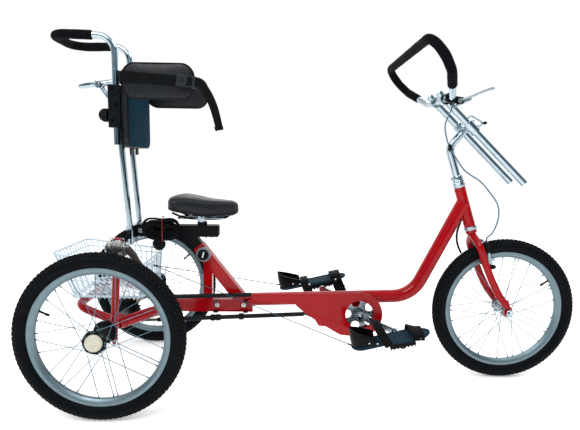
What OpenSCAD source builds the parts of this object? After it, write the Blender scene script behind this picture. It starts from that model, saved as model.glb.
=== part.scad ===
// Adaptive delta tricycle: one front wheel, two rear wheels, foot plates, back support
// +X forward, +Y left, +Z up, millimetres, origin on the ground under the middle

/* [Overall] */
// distance from the rear axle to the front axle
wheelbase = 1324; // [1240:2:1600]
// distance between the middles of the two rear tyres
track = 612; // [510:2:740]
// outer diameter of each tyre
wheel_d = 506; // [420:2:610]
// width of each tyre
tyre_w = 50; // [40:1:60]

/* [Wheels] */
// width of each rim
rim_w = 26; // [20:1:30]
// height of a tyre's wall above the rim edge
tyre_h = 44; // [36:1:52]
// spokes in each wheel
spoke_count = 28; // [20:4:36]
// diameter of a spoke
spoke_d = 2; // [1.6:0.1:3]
// diameter of a rear hub flange
rear_flange_d = 70; // [54:1:90]
// distance between a rear hub's two flanges
rear_flange_gap = 82; // [60:1:96]
// diameter of a front hub flange
front_flange_d = 44; // [38:1:60]
// distance between the front hub's two flanges
front_flange_gap = 62; // [50:1:70]
// diameter of a hub dust cap
cap_d = 50; // [36:1:52]

/* [Frame] */
// diameter of the main tube
main_d = 46; // [38:1:54]
// width of the rear rail
rail_w = 40; // [32:1:46]
// height of the rear rail
rail_h = 44; // [36:1:48]
// diameter of a front leg of the rear frame
leg_d = 36; // [28:1:40]
// diameter of the hoop behind the axle
hoop_d = 26; // [20:1:30]
// lean of the head tube from upright, in degrees
head_angle = 18; // [14:1:22]
// length of the head tube
head_len = 144; // [120:1:180]
// diameter of a fork leg
fork_leg_d = 25; // [20:1:28]
// distance between the middles of the two fork legs
fork_gap = 100; // [92:1:120]
// offset of the front axle ahead of the steering axis
rake = 36; // [24:1:48]

/* [Seat] */
// outer width of the seat mast
mast_w = 40; // [34:1:44]
// height of the seat rail's middle above the axles
seat_rail_z = 271; // [240:1:320]
// width of the seat rail
seat_rail_w = 40; // [32:1:44]
// length of the saddle
saddle_len = 237; // [220:1:260]
// width of the saddle at its rear
saddle_w = 190; // [150:1:220]
// width of the back pad
back_pad_w = 240; // [200:1:280]
// height of the back pad
back_pad_h = 248; // [200:1:290]
// thickness of the back pad
back_pad_t = 34; // [24:1:44]
// length of a side pad
side_pad_len = 221; // [180:1:250]
// height of a side pad
side_pad_h = 110; // [90:1:130]
// thickness of a side pad
side_pad_t = 28; // [20:1:36]

/* [Handles] */
// diameter of the handlebar tube
bar_d = 22; // [20:1:25]
// outer diameter of the foam grips
foam_d = 30; // [28:1:36]
// width of the handlebar loop between tube middles
bar_w = 544; // [530:2:560]
// distance from the handlebar's lower bar to its upper bar
bar_rise = 190; // [176:2:210]
// diameter of the push handle tube
push_d = 22; // [18:1:25]
// width of the push handle between tube middles
push_w = 152; // [148:2:190]
// how much further out each arm of the push handle ends than it starts
push_splay = 20; // [0:1:30]
// diameter of the free bar behind the back support
rear_bar_d = 17; // [14:1:20]

/* [Drive] */
// crank length
crank_len = 130; // [110:1:145]
// pitch radius of the chainring
ring_r = 73; // [60:1:78]
// pitch radius of the rear sprocket
cog_r = 42; // [34:1:50]
// length of a foot plate
plate_len = 262; // [230:1:290]
// width of a foot plate
plate_w = 96; // [80:1:104]
// slope of a foot plate, nose up, in degrees
plate_tilt = 12; // [0:1:20]
// distance from the middle of the tricycle to the middle of a foot plate
pedal_y = 160; // [150:1:190]

/* [Basket] */
// length of the basket at its rim
basket_len = 292; // [240:2:310]
// width of the basket at its rim
basket_w = 290; // [240:2:300]

/* [Hidden] */
$fn = 48;
wheel_r = wheel_d / 2;
rear_x = -wheelbase / 2;
front_x = wheelbase / 2;
half_track = track / 2;
rim_r = wheel_r - tyre_h;
rim_in = rim_r - 21;
run_gap = 0.05;
bend_lap = 1;
bend_step = 0.06;
seat_gap = 0.3;
axle_r = 10;
front_axle_r = 5;
dropout_t = 6;
steerer_r = 14.3;
spindle_r = 10;
pin_r = 6;
bar_r = bar_d / 2;
foam_r = foam_d / 2;
push_r = push_d / 2;
rear_bar_r = rear_bar_d / 2;
rear_bar_len = 132;
bar_socket = 80;
rear_bar_dir = [-cos(8), 0, -sin(8)];
axis_up = [-sin(head_angle), 0, cos(head_angle)];
axis_out = [cos(head_angle), 0, sin(head_angle)];
front_hub = [front_x, 0, wheel_r];
fork_len = wheel_r + 72;
race = front_hub - rake * axis_out + fork_len * axis_up;
bb = [rear_x + 801, 0, wheel_r - 10];
crank_tilt = 24;
ring_y = -46;
arm_y = 72;
tube_y = 50;
upright_y = 54;
bar_low = race + [-128, 0, 428];
bar_dir = [-0.63, 0, 0.777];
bar_corners = [
    bar_low,
    bar_low + [0, -bar_w / 2 + 147, 0],
    bar_low + [0, -bar_w / 2 + 27, 0] + bar_rise * 0.4 * bar_dir,
    bar_low + [0, -bar_w / 2, 0] + bar_rise * 0.64 * bar_dir,
    bar_low + [0, -bar_w / 2, 0] + bar_rise * bar_dir];
bar_bend = 45;
bare_bar = 64;
push_top = [rear_x - 11, -push_w / 2, wheel_r + 904];
push_end = [rear_x - 208, -push_w / 2 - push_splay, wheel_r + 904];
push_bend = 52;
bare_push = 67;
tube_end = race + [155, 0, 155];
stem_top = race + [-31, 0, 341];

// point placed from the rear axle, x forward and z up from the axle's middle
function from_rear(x, y, z) = [rear_x + x, y, wheel_r + z];

function unit(v) = v / norm(v);
function along(p, q) = unit(q - p);

// half the turn between two directions
function half_turn(u, v) = acos(max(-1, min(1, u * v))) / 2;

// length of straight tube that a bend takes at corner i
function bend_cut(pts, i, bend) =
    (i == 0 || i == len(pts) - 1) ? 0
    : bend * tan(half_turn(along(pts[i - 1], pts[i]), along(pts[i], pts[i + 1])));

module rod(p, q, r) {
    v = q - p;
    translate(p)
    rotate([0, acos(v[2] / norm(v)), atan2(v[1], v[0])])
    cylinder(h = norm(v), r = r);
}

// hollow or solid straight tube
module pipe(p, q, r, bore = 0) {
    v = q - p;
    translate(p)
    rotate([0, acos(v[2] / norm(v)), atan2(v[1], v[0])])
    difference() {
        cylinder(h = norm(v), r = r);
        if (bore > 0)
            translate([0, 0, -1])
            cylinder(h = norm(v) + 2, r = bore);
    }
}

// one bend of a tube at corner i
module elbow(pts, i, r, bend, bore) {
    u = along(pts[i - 1], pts[i]);
    v = along(pts[i], pts[i + 1]);
    side = unit(v - (u * v) * u);
    start = pts[i] - bend_cut(pts, i, bend) * u;
    middle = start + bend * side;
    across = cross(-side, u);
    turn = 2 * half_turn(u, v);
    multmatrix([
        [-side[0], u[0], across[0], middle[0]],
        [-side[1], u[1], across[1], middle[1]],
        [-side[2], u[2], across[2], middle[2]],
        [0, 0, 0, 1]])
    rotate_extrude(angle = turn, $fn = 96)
    translate([bend, 0])
    difference() {
        circle(r = r);
        if (bore > 0)
            circle(r = bore);
    }
}

// tube through a row of corner points, each corner bent to one radius
module bent_tube(pts, r, bend, bore = 0) {
    last = len(pts) - 1;
    for (i = [0:last - 1]) {
        u = along(pts[i], pts[i + 1]);
        cut_a = i == 0 ? 0 : bend_cut(pts, i, bend) - bend_lap;
        cut_b = i + 1 == last ? 0 : bend_cut(pts, i + 1, bend) - bend_lap;
        pipe(pts[i] + cut_a * u, pts[i + 1] - cut_b * u, r - bend_step, bore > 0 ? bore + bend_step : 0);
    }
    for (i = [1:last - 1])
        elbow(pts, i, r, bend, bore);
}

// row of corner points with its mirror image on the left, in reverse
function both_sides(pts) = concat(pts, [for (i = [len(pts) - 1:-1:0]) [pts[i][0], -pts[i][1], pts[i][2]]]);

// round-cornered rectangle, centred
module round_rect(w, h, r) {
    square([w - 2 * r, h], center = true);
    square([w, h - 2 * r], center = true);
    for (x = [-1, 1], y = [-1, 1])
        translate([x * (w / 2 - r), y * (h / 2 - r)])
        circle(r = r);
}

// square bar between two points in the middle plane
module square_bar(p, q, w, y) {
    v = q - p;
    translate(p)
    rotate([0, atan2(v[0], v[2]), 0])
    translate([-w / 2, -y / 2, 0])
    cube([w, y, norm(v)]);
}

// puts a shape on the steering axis, z up the axis and x ahead of it
module on_head() {
    translate(race)
    rotate([0, -head_angle, 0])
    children();
}

// a shape drawn along +Z is laid along +Y
module across_y() {
    rotate([-90, 0, 0])
    children();
}

module mirror_y() {
    children();
    mirror([0, 1, 0])
    children();
}

/* ---- wheels ---- */

module rim_profile() {
    polygon([[rim_in, -6], [rim_in, 6], [rim_r - 12, rim_w / 2], [rim_r, rim_w / 2],
        [rim_r, -rim_w / 2], [rim_r - 12, -rim_w / 2]]);
}

module tyre(y, x) {
    translate([x, y, wheel_r])
    across_y()
    rotate_extrude($fn = 96)
    difference() {
        intersection() {
            translate([wheel_r - tyre_w / 2, 0])
            circle(r = tyre_w / 2);
            translate([rim_r - 5, -tyre_w])
            square([tyre_w * 2, tyre_w * 2]);
        }
        rim_profile();
    }
}

module rim(y, x) {
    translate([x, y, wheel_r])
    across_y()
    rotate_extrude($fn = 96)
    rim_profile();
}

// crossed spokes, alternately from the two faces of each flange
module spokes(y, x, flange_d, flange_gap) {
    pairs = spoke_count / 4;
    step = 360 / pairs;
    hole_r = flange_d / 2 - 4;
    for (side = [-1, 1], k = [0:pairs - 1], lean = [-1, 1]) {
        foot_a = k * step + side * step / 8 + lean * step / 8;
        tip_a = foot_a + lean * 62;
        foot_y = side * flange_gap / 2 + lean * 2.4;
        rod([x + hole_r * cos(foot_a), y + foot_y, wheel_r + hole_r * sin(foot_a)],
            [x + (rim_in + 1.5) * cos(tip_a), y + side * 2.5, wheel_r + (rim_in + 1.5) * sin(tip_a)],
            spoke_d / 2);
    }
}

module hub(y, x, flange_d, flange_gap, bore, half_len, body_r) {
    translate([x, y, wheel_r])
    across_y()
    difference() {
        union() {
            translate([0, 0, -half_len])
            cylinder(h = 2 * half_len, r = body_r);
            for (side = [-1, 1])
                translate([0, 0, side * flange_gap / 2 - 3])
                cylinder(h = 6, r = flange_d / 2);
        }
        translate([0, 0, -half_len - 1])
        cylinder(h = 2 * half_len + 2, r = bore);
    }
}

module rear_hub(side) {
    half_len = rear_flange_gap / 2 + 3;
    hub(side * half_track, rear_x, rear_flange_d, rear_flange_gap, axle_r + run_gap, half_len, 22);
    translate([rear_x, side * (half_track + half_len), wheel_r])
    rotate([side * -90, 0, 0])
    difference() {
        union() {
            cylinder(h = 9, r = cap_d / 2);
            translate([0, 0, 9])
            cylinder(h = 4, r1 = cap_d / 2, r2 = cap_d / 2 - 6);
        }
        translate([0, 0, -1])
        cylinder(h = 7, r = axle_r + 3);
    }
}

module tyre_rear_right() {
    color("#1c1c1d")
    tyre(-half_track, rear_x);
}

module tyre_rear_left() {
    color("#1c1c1d")
    tyre(half_track, rear_x);
}

module tyre_front() {
    color("#1c1c1d")
    tyre(0, front_x);
}

module rim_rear_right() {
    color("#a9b0b2")
    rim(-half_track, rear_x);
}

module rim_rear_left() {
    color("#a9b0b2")
    rim(half_track, rear_x);
}

module rim_front() {
    color("#a9b0b2")
    rim(0, front_x);
}

module spokes_rear_right() {
    color("#c8cdd0")
    spokes(-half_track, rear_x, rear_flange_d, rear_flange_gap);
}

module spokes_rear_left() {
    color("#c8cdd0")
    spokes(half_track, rear_x, rear_flange_d, rear_flange_gap);
}

module spokes_front() {
    color("#c8cdd0")
    spokes(0, front_x, front_flange_d, front_flange_gap);
}

module hub_rear_right() {
    color("#222224")
    rear_hub(-1);
}

module hub_rear_left() {
    color("#222224")
    rear_hub(1);
}

module hub_front() {
    half_len = fork_gap / 2 - dropout_t / 2 - seat_gap;
    color("#b5babd")
    hub(0, front_x, front_flange_d, front_flange_gap, front_axle_r + run_gap, half_len, 14);
}

/* ---- frame ---- */

module main_frame() {
    color("#b3141b")
    difference() {
        union() {
            bent_tube([from_rear(412, 0, 25),
                [front_x - 330 - 1.1 * (wheel_r - 253), 0, wheel_r + 44],
                race + 88 * axis_up], main_d / 2, 110);
            translate(from_rear(412, 0, 25))
            sphere(r = main_d / 2 - 0.6);
            on_head()
            cylinder(h = head_len, r = 19);
            translate(bb)
            rotate([90, 0, 0])
            cylinder(h = 68, r = 24, center = true);
            translate(bb + [-26, -15, 0])
            cube([52, 30, 44]);
        }
        on_head()
        translate([0, 0, -1])
        cylinder(h = head_len + 2, r = steerer_r + 1.2);
        translate(bb)
        rotate([90, 0, 0])
        cylinder(h = 70, r = spindle_r + run_gap, center = true);
    }
}

module headset() {
    color("#c4c8ca")
    on_head()
    difference() {
        union() {
            translate([0, 0, -12])
            cylinder(h = 12, r = 22);
            translate([0, 0, head_len])
            cylinder(h = 14, r = 21);
        }
        translate([0, 0, -13])
        cylinder(h = head_len + 40, r = steerer_r + run_gap);
    }
}

module rear_rail() {
    color("#b3141b")
    translate(from_rear(150, -rail_w / 2, 7 - rail_h / 2))
    cube([278, rail_w, rail_h]);
}

// rear frame, with the same leg, axle tube and post on both sides
module rear_frame() {
    leg_y = half_track - 122;
    post_y = half_track - 68;
    color("#b3141b")
    difference() {
        union() {
            mirror_y() {
                rod(from_rear(160, 0, 7), from_rear(12, -leg_y, -2), leg_d / 2);
                translate(from_rear(0, -leg_y - 38, 0))
                across_y()
                cylinder(h = 76, r = 22);
            }
            bent_tube([from_rear(8, -leg_y, 4), from_rear(-124, -leg_y + 20, 49),
                from_rear(-124, leg_y - 20, 49), from_rear(8, leg_y, 4)], hoop_d / 2, 48);
            rod(from_rear(16, -post_y, -34), from_rear(33, -post_y, 226), 11);
            rod(from_rear(0, -post_y - 11, 0), from_rear(0, -leg_y, 0), 16);
        }
        translate(from_rear(0, -track, 0))
        across_y()
        cylinder(h = 2 * track, r = axle_r + 0.2);
    }
}

module rear_axle() {
    end_y = half_track + rear_flange_gap / 2 + 5;
    color("#9a9fa2")
    rod(from_rear(0, -end_y, 0), from_rear(0, end_y, 0), axle_r);
}

module rear_sprocket() {
    color("#8b9094")
    translate(from_rear(0, ring_y, 0))
    rotate([90, 0, 0])
    difference() {
        union() {
            cylinder(h = 3, r = cog_r - 5, center = true);
            cylinder(h = 26, r = 20, center = true);
        }
        cylinder(h = 40, r = axle_r + run_gap, center = true);
    }
}

module seat_mast() {
    lean = from_rear(375, 0, 43);
    color("#b3141b") {
        difference() {
            square_bar(from_rear(406, 0, 3.4), from_rear(237, 0, 218), mast_w, mast_w);
            translate(from_rear(0, -100, -200 + 29))
            cube([700, 200, 200]);
        }
        difference() {
            translate(from_rear(255, -13, 29))
            cube([30, 26, 145]);
            square_bar(lean, from_rear(150, 0, 330), mast_w - 4, mast_w + 40);
        }
    }
}

module mast_knob() {
    color("#b9bdc0") {
        translate(from_rear(259, -mast_w / 2, 193))
        rotate([90, 0, 0])
        cylinder(h = 12, r = 7);
        translate(from_rear(259, -mast_w / 2 - 10, 193))
        rotate([90, 0, 0])
        difference() {
            cylinder(h = 13, r = 25);
            for (a = [0:30:330])
                rotate(a)
                translate([27, 0, -1])
                cylinder(h = 15, r = 4, $fn = 24);
        }
    }
}

module seat_rail() {
    top = seat_rail_z + seat_rail_w / 2;
    color("#1d1d1f")
    difference() {
        union() {
            translate(from_rear(24, -seat_rail_w / 2, seat_rail_z - seat_rail_w / 2))
            cube([282, seat_rail_w, seat_rail_w]);
            square_bar(from_rear(237.3, 0, 218), from_rear(201, 0, 264), mast_w - 7, mast_w - 7);
            translate(from_rear(250, 0, top))
            cylinder(h = 12, r = 17);
        }
        translate(from_rear(250, 0, top - 30))
        cylinder(h = 60, r = 11);
    }
}

module saddle_post() {
    top = seat_rail_z + seat_rail_w / 2;
    color("#c4c8ca") {
        translate(from_rear(250, 0, top - 28))
        cylinder(h = 58, r = 10.9);
        translate(from_rear(250, 0, top + 24))
        rotate([90, 0, 0])
        cylinder(h = 50, r = 12, center = true);
        for (y = [-22, 22])
            rod(from_rear(170, y, top + 26), from_rear(330, y, top + 26), 3.5);
    }
}

// half width of the saddle at a share of its length, rear to nose
function saddle_half(t) =
    saddle_w / 2 * (t < 0.12 ? sqrt(1 - pow((0.12 - t) / 0.12, 2)) : 1) * (1 - 0.72 * pow(max(0, t - 0.18) / 0.82, 0.9));

module saddle() {
    n = 24;
    steps = [for (i = [0:n]) 0.5 - 0.5 * cos(180 * i / n)];
    top = seat_rail_z + seat_rail_w / 2;
    color("#241d1b")
    translate(from_rear(139, 0, top + 30))
    intersection() {
        linear_extrude(height = 90)
        polygon(concat([for (t = steps) [t * saddle_len, -max(1, saddle_half(t))]],
            [for (i = [n:-1:0]) [steps[i] * saddle_len, max(1, saddle_half(steps[i]))]]));
        rotate([90, 0, 0])
        linear_extrude(height = saddle_w + 20, center = true)
        polygon([[0, 26], [0, 60], [14, 71], [50, 76], [92, 71], [140, 61], [saddle_len * 0.84, 57],
            [saddle_len - 12, 54], [saddle_len, 42], [saddle_len, 15], [saddle_len - 14, 4], [saddle_len * 0.7, 0],
            [saddle_len * 0.48, 0], [60, 12]]);
    }
}

/* ---- back support ---- */

module back_uprights() {
    low = from_rear(20, 0, 232);
    high = from_rear(-22, 0, 775);
    side = [0, upright_y, 0];
    color("#c4c8ca") {
        bent_tube([low - side, high - side, high + side, low + side], 10, 26);
        mirror_y() {
            translate(from_rear(-13, -upright_y - 6, 592))
            cube([26.5, 12, 22]);
            translate(from_rear(-22, -upright_y - 6, 720))
            cube([35.5, 12, 22]);
        }
        rod(from_rear(-17, -upright_y, 660), from_rear(-17, upright_y, 660), 7);
        translate(from_rear(4, -66, 249))
        cube([19.5, 132, 42]);
        rod(high, high + bar_socket * rear_bar_dir, rear_bar_r + 1.5);
        rod(high + bar_socket * rear_bar_dir, high + rear_bar_len * rear_bar_dir, rear_bar_r);
        translate(high + rear_bar_len * rear_bar_dir)
        sphere(r = rear_bar_r - 0.2);
        for (y = [-12, 12])
            rod(from_rear(-17, y, 660), from_rear(-90, y, 762), 5);
        rod(from_rear(-90, -17, 762), from_rear(-90, 17, 762), 6);
    }
}

module back_clamps() {
    push_y = push_w / 2;
    color("#18181a")
    mirror_y() {
        difference() {
            translate(from_rear(-32, -push_y - 16, 617))
            cube([38, push_y - upright_y + 30, 134]);
            rod(from_rear(20, -upright_y, 232), from_rear(-22, -upright_y, 775), 10.1);
            rod(from_rear(-11, -push_y, 500), from_rear(-11, -push_y, 900), push_r + 0.1);
        }
        translate(from_rear(-44, -push_y - 10, 656))
        across_y()
        cylinder(h = 20, r = 21);
    }
}

module back_pad() {
    color("#1b1c1f")
    translate(from_rear(14, 0, 553 + back_pad_h / 2))
    rotate([90, 0, 90])
    linear_extrude(height = back_pad_t)
    round_rect(back_pad_w, back_pad_h, 30);
}

module side_pads() {
    color("#1b1c1f")
    mirror_y()
    translate(from_rear(30 + side_pad_len / 2, -back_pad_w / 2 - seat_gap, 757))
    rotate([90, 0, 0])
    linear_extrude(height = side_pad_t)
    round_rect(side_pad_len, side_pad_h, 26);
}

module chest_belt() {
    face = -back_pad_w / 2 - seat_gap - side_pad_t - seat_gap;
    start = from_rear(30, face, 769);
    buckle = from_rear(229, face, 755);
    color("#141416") {
        translate(start)
        rotate([0, 4, 0])
        translate([0, -3, -15])
        cube([196, 3, 30]);
        translate(buckle)
        rotate([0, 7, 0])
        translate([-8, -12, -20])
        cube([58, 12, 40]);
        translate(buckle)
        rotate([0, 64, 0])
        translate([26, -5, 22])
        cube([150, 3, 25]);
    }
}

module push_handle() {
    color("#c4c8ca")
    bent_tube(both_sides([push_top - [0, 0, 342], push_top, push_end]), push_r, push_bend);
}

module push_grip() {
    start = push_top + bare_push * along(push_top, push_end);
    color("#17181a")
    bent_tube(both_sides([start, push_end]), foam_r, push_bend, push_r + 0.2);
}

/* ---- drive ---- */

module chain_bar(p, q) {
    v = q - p;
    translate(p)
    rotate([0, atan2(v[0], v[2]), 0])
    translate([-3.9, -2.9, -1])
    cube([7.8, 5.8, norm(v) + 2]);
}

module chain_arc(c, r, from, turn) {
    translate(c)
    rotate([90, 0, 0])
    rotate([0, 0, from])
    rotate_extrude(angle = turn, $fn = 96)
    translate([r - 4, -3])
    square([8, 6]);
}

module chain() {
    cog = from_rear(0, ring_y, 0);
    ring = bb + [0, ring_y, 0];
    gap = norm(ring - cog);
    slope = atan2(ring[2] - cog[2], ring[0] - cog[0]);
    lift = asin((ring_r - cog_r) / gap);
    up = slope + lift + 90;
    top_dir = [cos(up), 0, sin(up)];
    guide = from_rear(615, ring_y, -11);
    cog_gap = norm(guide - cog);
    cog_down = atan2(guide[2] - cog[2], guide[0] - cog[0]) - acos(cog_r / cog_gap);
    ring_gap = norm(ring - guide);
    ring_down = atan2(guide[2] - ring[2], guide[0] - ring[0]) + acos(ring_r / ring_gap);
    cog_dir = [cos(cog_down), 0, sin(cog_down)];
    ring_dir = [cos(ring_down), 0, sin(ring_down)];
    color("#4a4744") {
        chain_bar(cog + cog_r * top_dir, ring + ring_r * top_dir);
        chain_bar(cog + cog_r * cog_dir, guide);
        chain_bar(guide, ring + ring_r * ring_dir);
        translate(guide)
        rotate([90, 0, 0])
        cylinder(h = 6.4, r = 4.4, center = true);
        chain_arc(cog, cog_r, up, cog_down - up + 360);
        chain_arc(ring, ring_r, ring_down, up - ring_down + (ring_down > up ? 360 : 0));
    }
}

module chain_sleeves() {
    reach = -ring_y - rail_w / 2 - 7;
    color("#161617") {
        pipe(from_rear(100, ring_y, 43.5), from_rear(424, ring_y, 55), 7.5, 6.2);
        pipe(from_rear(100, ring_y, -37), from_rear(608, ring_y, -12.4), 7.5, 6.2);
        for (x = [292, 396]) {
            translate(from_rear(x, ring_y + 7, 24))
            cube([16, reach, 3]);
            translate(from_rear(x, ring_y + 7, -13))
            cube([16, reach, 3]);
        }
    }
}

module chain_guard() {
    c = bb + [0, -55, 0];
    color("#b3141b")
    difference() {
        union() {
            translate(c)
            rotate([90, 0, 0])
            linear_extrude(height = 3) {
                circle(r = 79);
                polygon([[0, 78], [-374, 72], [-374, 44], [-222, 38], [-221, 31], [-186, 2], [-155, -19], [-142, -40],
                    [-118, -42], [-66, -72], [-20, -77]]);
            }
            for (x = [-178, -94])
                translate(c + [x - 12, -1, 48])
                cube([24, 56 - main_d / 2 + 8, 5]);
        }
        translate(c)
        rotate([90, 0, 0])
        cylinder(h = 20, r = 49, center = true);
    }
}

module crankset() {
    out = [cos(crank_tilt), 0, -sin(crank_tilt)];
    color("#aab0b3") {
        rod(bb + [0, -arm_y - 6, 0], bb + [0, arm_y + 6, 0], spindle_r);
        translate(bb + [0, ring_y, 0])
        rotate([90, 0, 0])
        difference() {
            cylinder(h = 3, r = ring_r - 5, center = true);
            for (a = [36:72:324])
                rotate(a)
                translate([42, 0, -5])
                cylinder(h = 10, r = 15);
        }
        for (side = [-1, 1])
            translate(bb + [0, side * arm_y, 0])
            rotate([0, crank_tilt + (side < 0 ? 0 : 180), 0])
            rotate([90, 0, 0]) {
                cylinder(h = 12, r = 17, center = true);
                translate([0, -9, -5])
                cube([crank_len, 18, 10]);
                translate([crank_len, 0, 0])
                cylinder(h = 12, r = 13, center = true);
            }
        rod(bb + crank_len * out + [0, -arm_y, 0], bb + crank_len * out + [0, -pedal_y - 38, 0], pin_r);
        rod(bb - crank_len * out + [0, arm_y, 0], bb - crank_len * out + [0, pedal_y + 38, 0], pin_r);
    }
}

// a foot plate about its pedal pin, the toe along +X
module foot_plate() {
    back = -0.615 * plate_len;
    rotate([0, -plate_tilt, 0])
    difference() {
        union() {
            translate([-46, -40, -12])
            cube([92, 80, 22]);
            translate([back + plate_len / 2, 0, 9.9])
            linear_extrude(height = 7)
            round_rect(plate_len, plate_w, 22);
            difference() {
                translate([back + 48, 0, 10])
                linear_extrude(height = 70)
                round_rect(96, plate_w - 4, 30);
                translate([back + 54, 0, 17])
                linear_extrude(height = 80)
                round_rect(98, plate_w - 14, 25);
                translate([back + 90, -plate_w, 17])
                cube([100, 2 * plate_w, 80]);
                translate([back + 60, -plate_w, 40])
                cube([100, 2 * plate_w, 80]);
            }
        }
        rotate([90, 0, 0])
        cylinder(h = 200, r = pin_r + run_gap, center = true);
    }
}

module foot_plate_right() {
    color("#20262c")
    translate(bb + crank_len * [cos(crank_tilt), 0, -sin(crank_tilt)] + [0, -pedal_y, 0])
    foot_plate();
}

module foot_plate_left() {
    color("#20262c")
    translate(bb - crank_len * [cos(crank_tilt), 0, -sin(crank_tilt)] + [0, pedal_y, 0])
    foot_plate();
}

/* ---- rear fittings ---- */

module parking_brake() {
    y = -(half_track - 68);
    color("#a8a49c") {
        translate(from_rear(14, y - 14, 226))
        cube([40, 28, 44]);
        rod(from_rear(46, y, 262), from_rear(70, y, 238), 5);
        rod(from_rear(60, y, 258), from_rear(100, y, 196), 9);
    }
}

// open box with sloping walls, wide at the rim
module basket() {
    rear = -213;
    front = rear + basket_len;
    half = basket_w / 2;
    t = 4;
    color("#e8ecef")
    difference() {
        polyhedron(points = basket_points(rear, front, half, 0, 0), faces = box_faces());
        polyhedron(points = basket_points(rear, front, half, t, 60), faces = box_faces());
    }
}

// eight corners of the tapered box, pushed in by a wall and raised above the rim
function basket_points(rear, front, half, t, lift) = [
    from_rear(rear + 55 + t, -half + 20 + t, 63 + t),
    from_rear(front - 4 - t, -half + 20 + t, 63 + t),
    from_rear(front - 4 - t, half - 20 - t, 63 + t),
    from_rear(rear + 55 + t, half - 20 - t, 63 + t),
    from_rear(rear - 0.4 * lift + t, -half - 0.15 * lift + t, 212 + lift),
    from_rear(front + 0.03 * lift - t, -half - 0.15 * lift + t, 177 + lift),
    from_rear(front + 0.03 * lift - t, half + 0.15 * lift - t, 177 + lift),
    from_rear(rear - 0.4 * lift + t, half + 0.15 * lift - t, 212 + lift)];

function box_faces() = [[0, 1, 2, 3], [4, 7, 6, 5], [0, 4, 5, 1], [1, 5, 6, 2], [2, 6, 7, 3], [3, 7, 4, 0]];

module cord_hank() {
    y = -seat_rail_w / 2 - seat_gap;
    color("#131314") {
        translate(from_rear(116, y, 281))
        rotate([90, 0, 0])
        linear_extrude(height = 24)
        round_rect(130, 82, 34);
        translate(from_rear(108, y - 12, 213))
        cylinder(h = 27, r = 12);
        translate(from_rear(108, y - 12, 213))
        sphere(r = 12);
    }
}

/* ---- steering ---- */

module fork() {
    leg_y = fork_gap / 2;
    leg_foot = -fork_len + 28;
    color("#b3141b")
    on_head()
    difference() {
        union() {
            translate([0, 0, -32])
            cylinder(h = 52 + head_len, r = steerer_r);
            translate([0, 0, -24])
            cylinder(h = 11.5, r = 19);
            mirror_y() {
                bent_tube([[0, 0.5, -27], [0, -leg_y, -68], [2, -leg_y, -fork_len + 190], [9, -leg_y, -fork_len + 125],
                    [19, -leg_y, -fork_len + 70], [rake - 2, -leg_y, leg_foot]], fork_leg_d / 2, 38);
                translate([rake - 10, -leg_y - dropout_t / 2, -fork_len])
                cube([20, dropout_t, 44]);
                translate([rake, -leg_y - dropout_t / 2, -fork_len])
                across_y()
                cylinder(h = dropout_t, r = 15);
            }
        }
        translate([rake, -100, -fork_len])
        across_y()
        cylinder(h = 200, r = front_axle_r + 0.1);
    }
}

module front_axle() {
    color("#9a9fa2") {
        rod(front_hub + [0, -fork_gap / 2 - 18, 0], front_hub + [0, fork_gap / 2 + 18, 0], front_axle_r);
        mirror_y()
        translate(front_hub + [0, -fork_gap / 2 - 12, 0])
        across_y()
        cylinder(h = 8.8, r = 9, $fn = 6);
    }
}

module stem() {
    tube_dir = along(bar_low, tube_end);
    grip_at = bar_low + ((stem_top - bar_low) * tube_dir) * tube_dir;
    side = [0, tube_y, 0];
    lever = [grip_at + [0, 0, 12], race + [-24, 0, 385], race + [28, 0, 356], race + [-4, 0, 335]];
    color("#c4c8ca") {
        on_head()
        difference() {
            translate([0, 0, head_len + 15])
            cylinder(h = 14, r = 17);
            translate([0, 0, head_len + 10])
            cylinder(h = 12, r = steerer_r + 0.1);
        }
        bent_tube([race + (head_len + 27) * axis_up, race + 286 * axis_up, grip_at], 13.5, 42);
        rod(grip_at - side, grip_at + side, 14.5);
        bent_tube(lever, 3, 8);
        difference() {
            mirror_y() {
                rod(bar_low - side - 30 * tube_dir, tube_end - side, 12.5);
                rod(grip_at - side - 22 * tube_dir, grip_at - side + 22 * tube_dir, 17.5);
                translate(bar_low - side)
                across_y()
                cylinder(h = 30, r = 17, center = true);
            }
            translate(bar_low + [0, -200, 0])
            across_y()
            cylinder(h = 400, r = bar_r + 0.1);
            mirror_y()
            rod(tube_end - side - 30 * tube_dir, tube_end - side + 10 * tube_dir, 10.5);
        }
    }
}

module handlebar() {
    color("#c4c8ca")
    bent_tube(both_sides(bar_corners), bar_r, bar_bend);
}

module handlebar_foam() {
    start = bar_corners[1] + bare_bar * along(bar_corners[1], bar_corners[2]);
    color("#17181a")
    bent_tube(both_sides([start, bar_corners[2], bar_corners[3], bar_corners[4]]), foam_r, bar_bend, bar_r + 0.2);
}

module brake_lever() {
    y = -bar_w / 2 + 172;
    pivot = bar_low + [22, y + 4, -8];
    color("#161618") {
        difference() {
            union() {
                translate(bar_low + [0, y, 0])
                across_y()
                cylinder(h = 20, r = 16, center = true);
                translate(bar_low + [8, y - 10, -20])
                cube([30, 24, 16]);
            }
            translate(bar_low + [0, y - 50, 0])
            across_y()
            cylinder(h = 100, r = bar_r + 0.1);
        }
        bent_tube([pivot, bar_low + [66, y - 12, -4], bar_low + [125, y - 34, 26]], 4.5, 30);
        translate(bar_low + [125, y - 34, 26])
        sphere(r = 6);
    }
}

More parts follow.
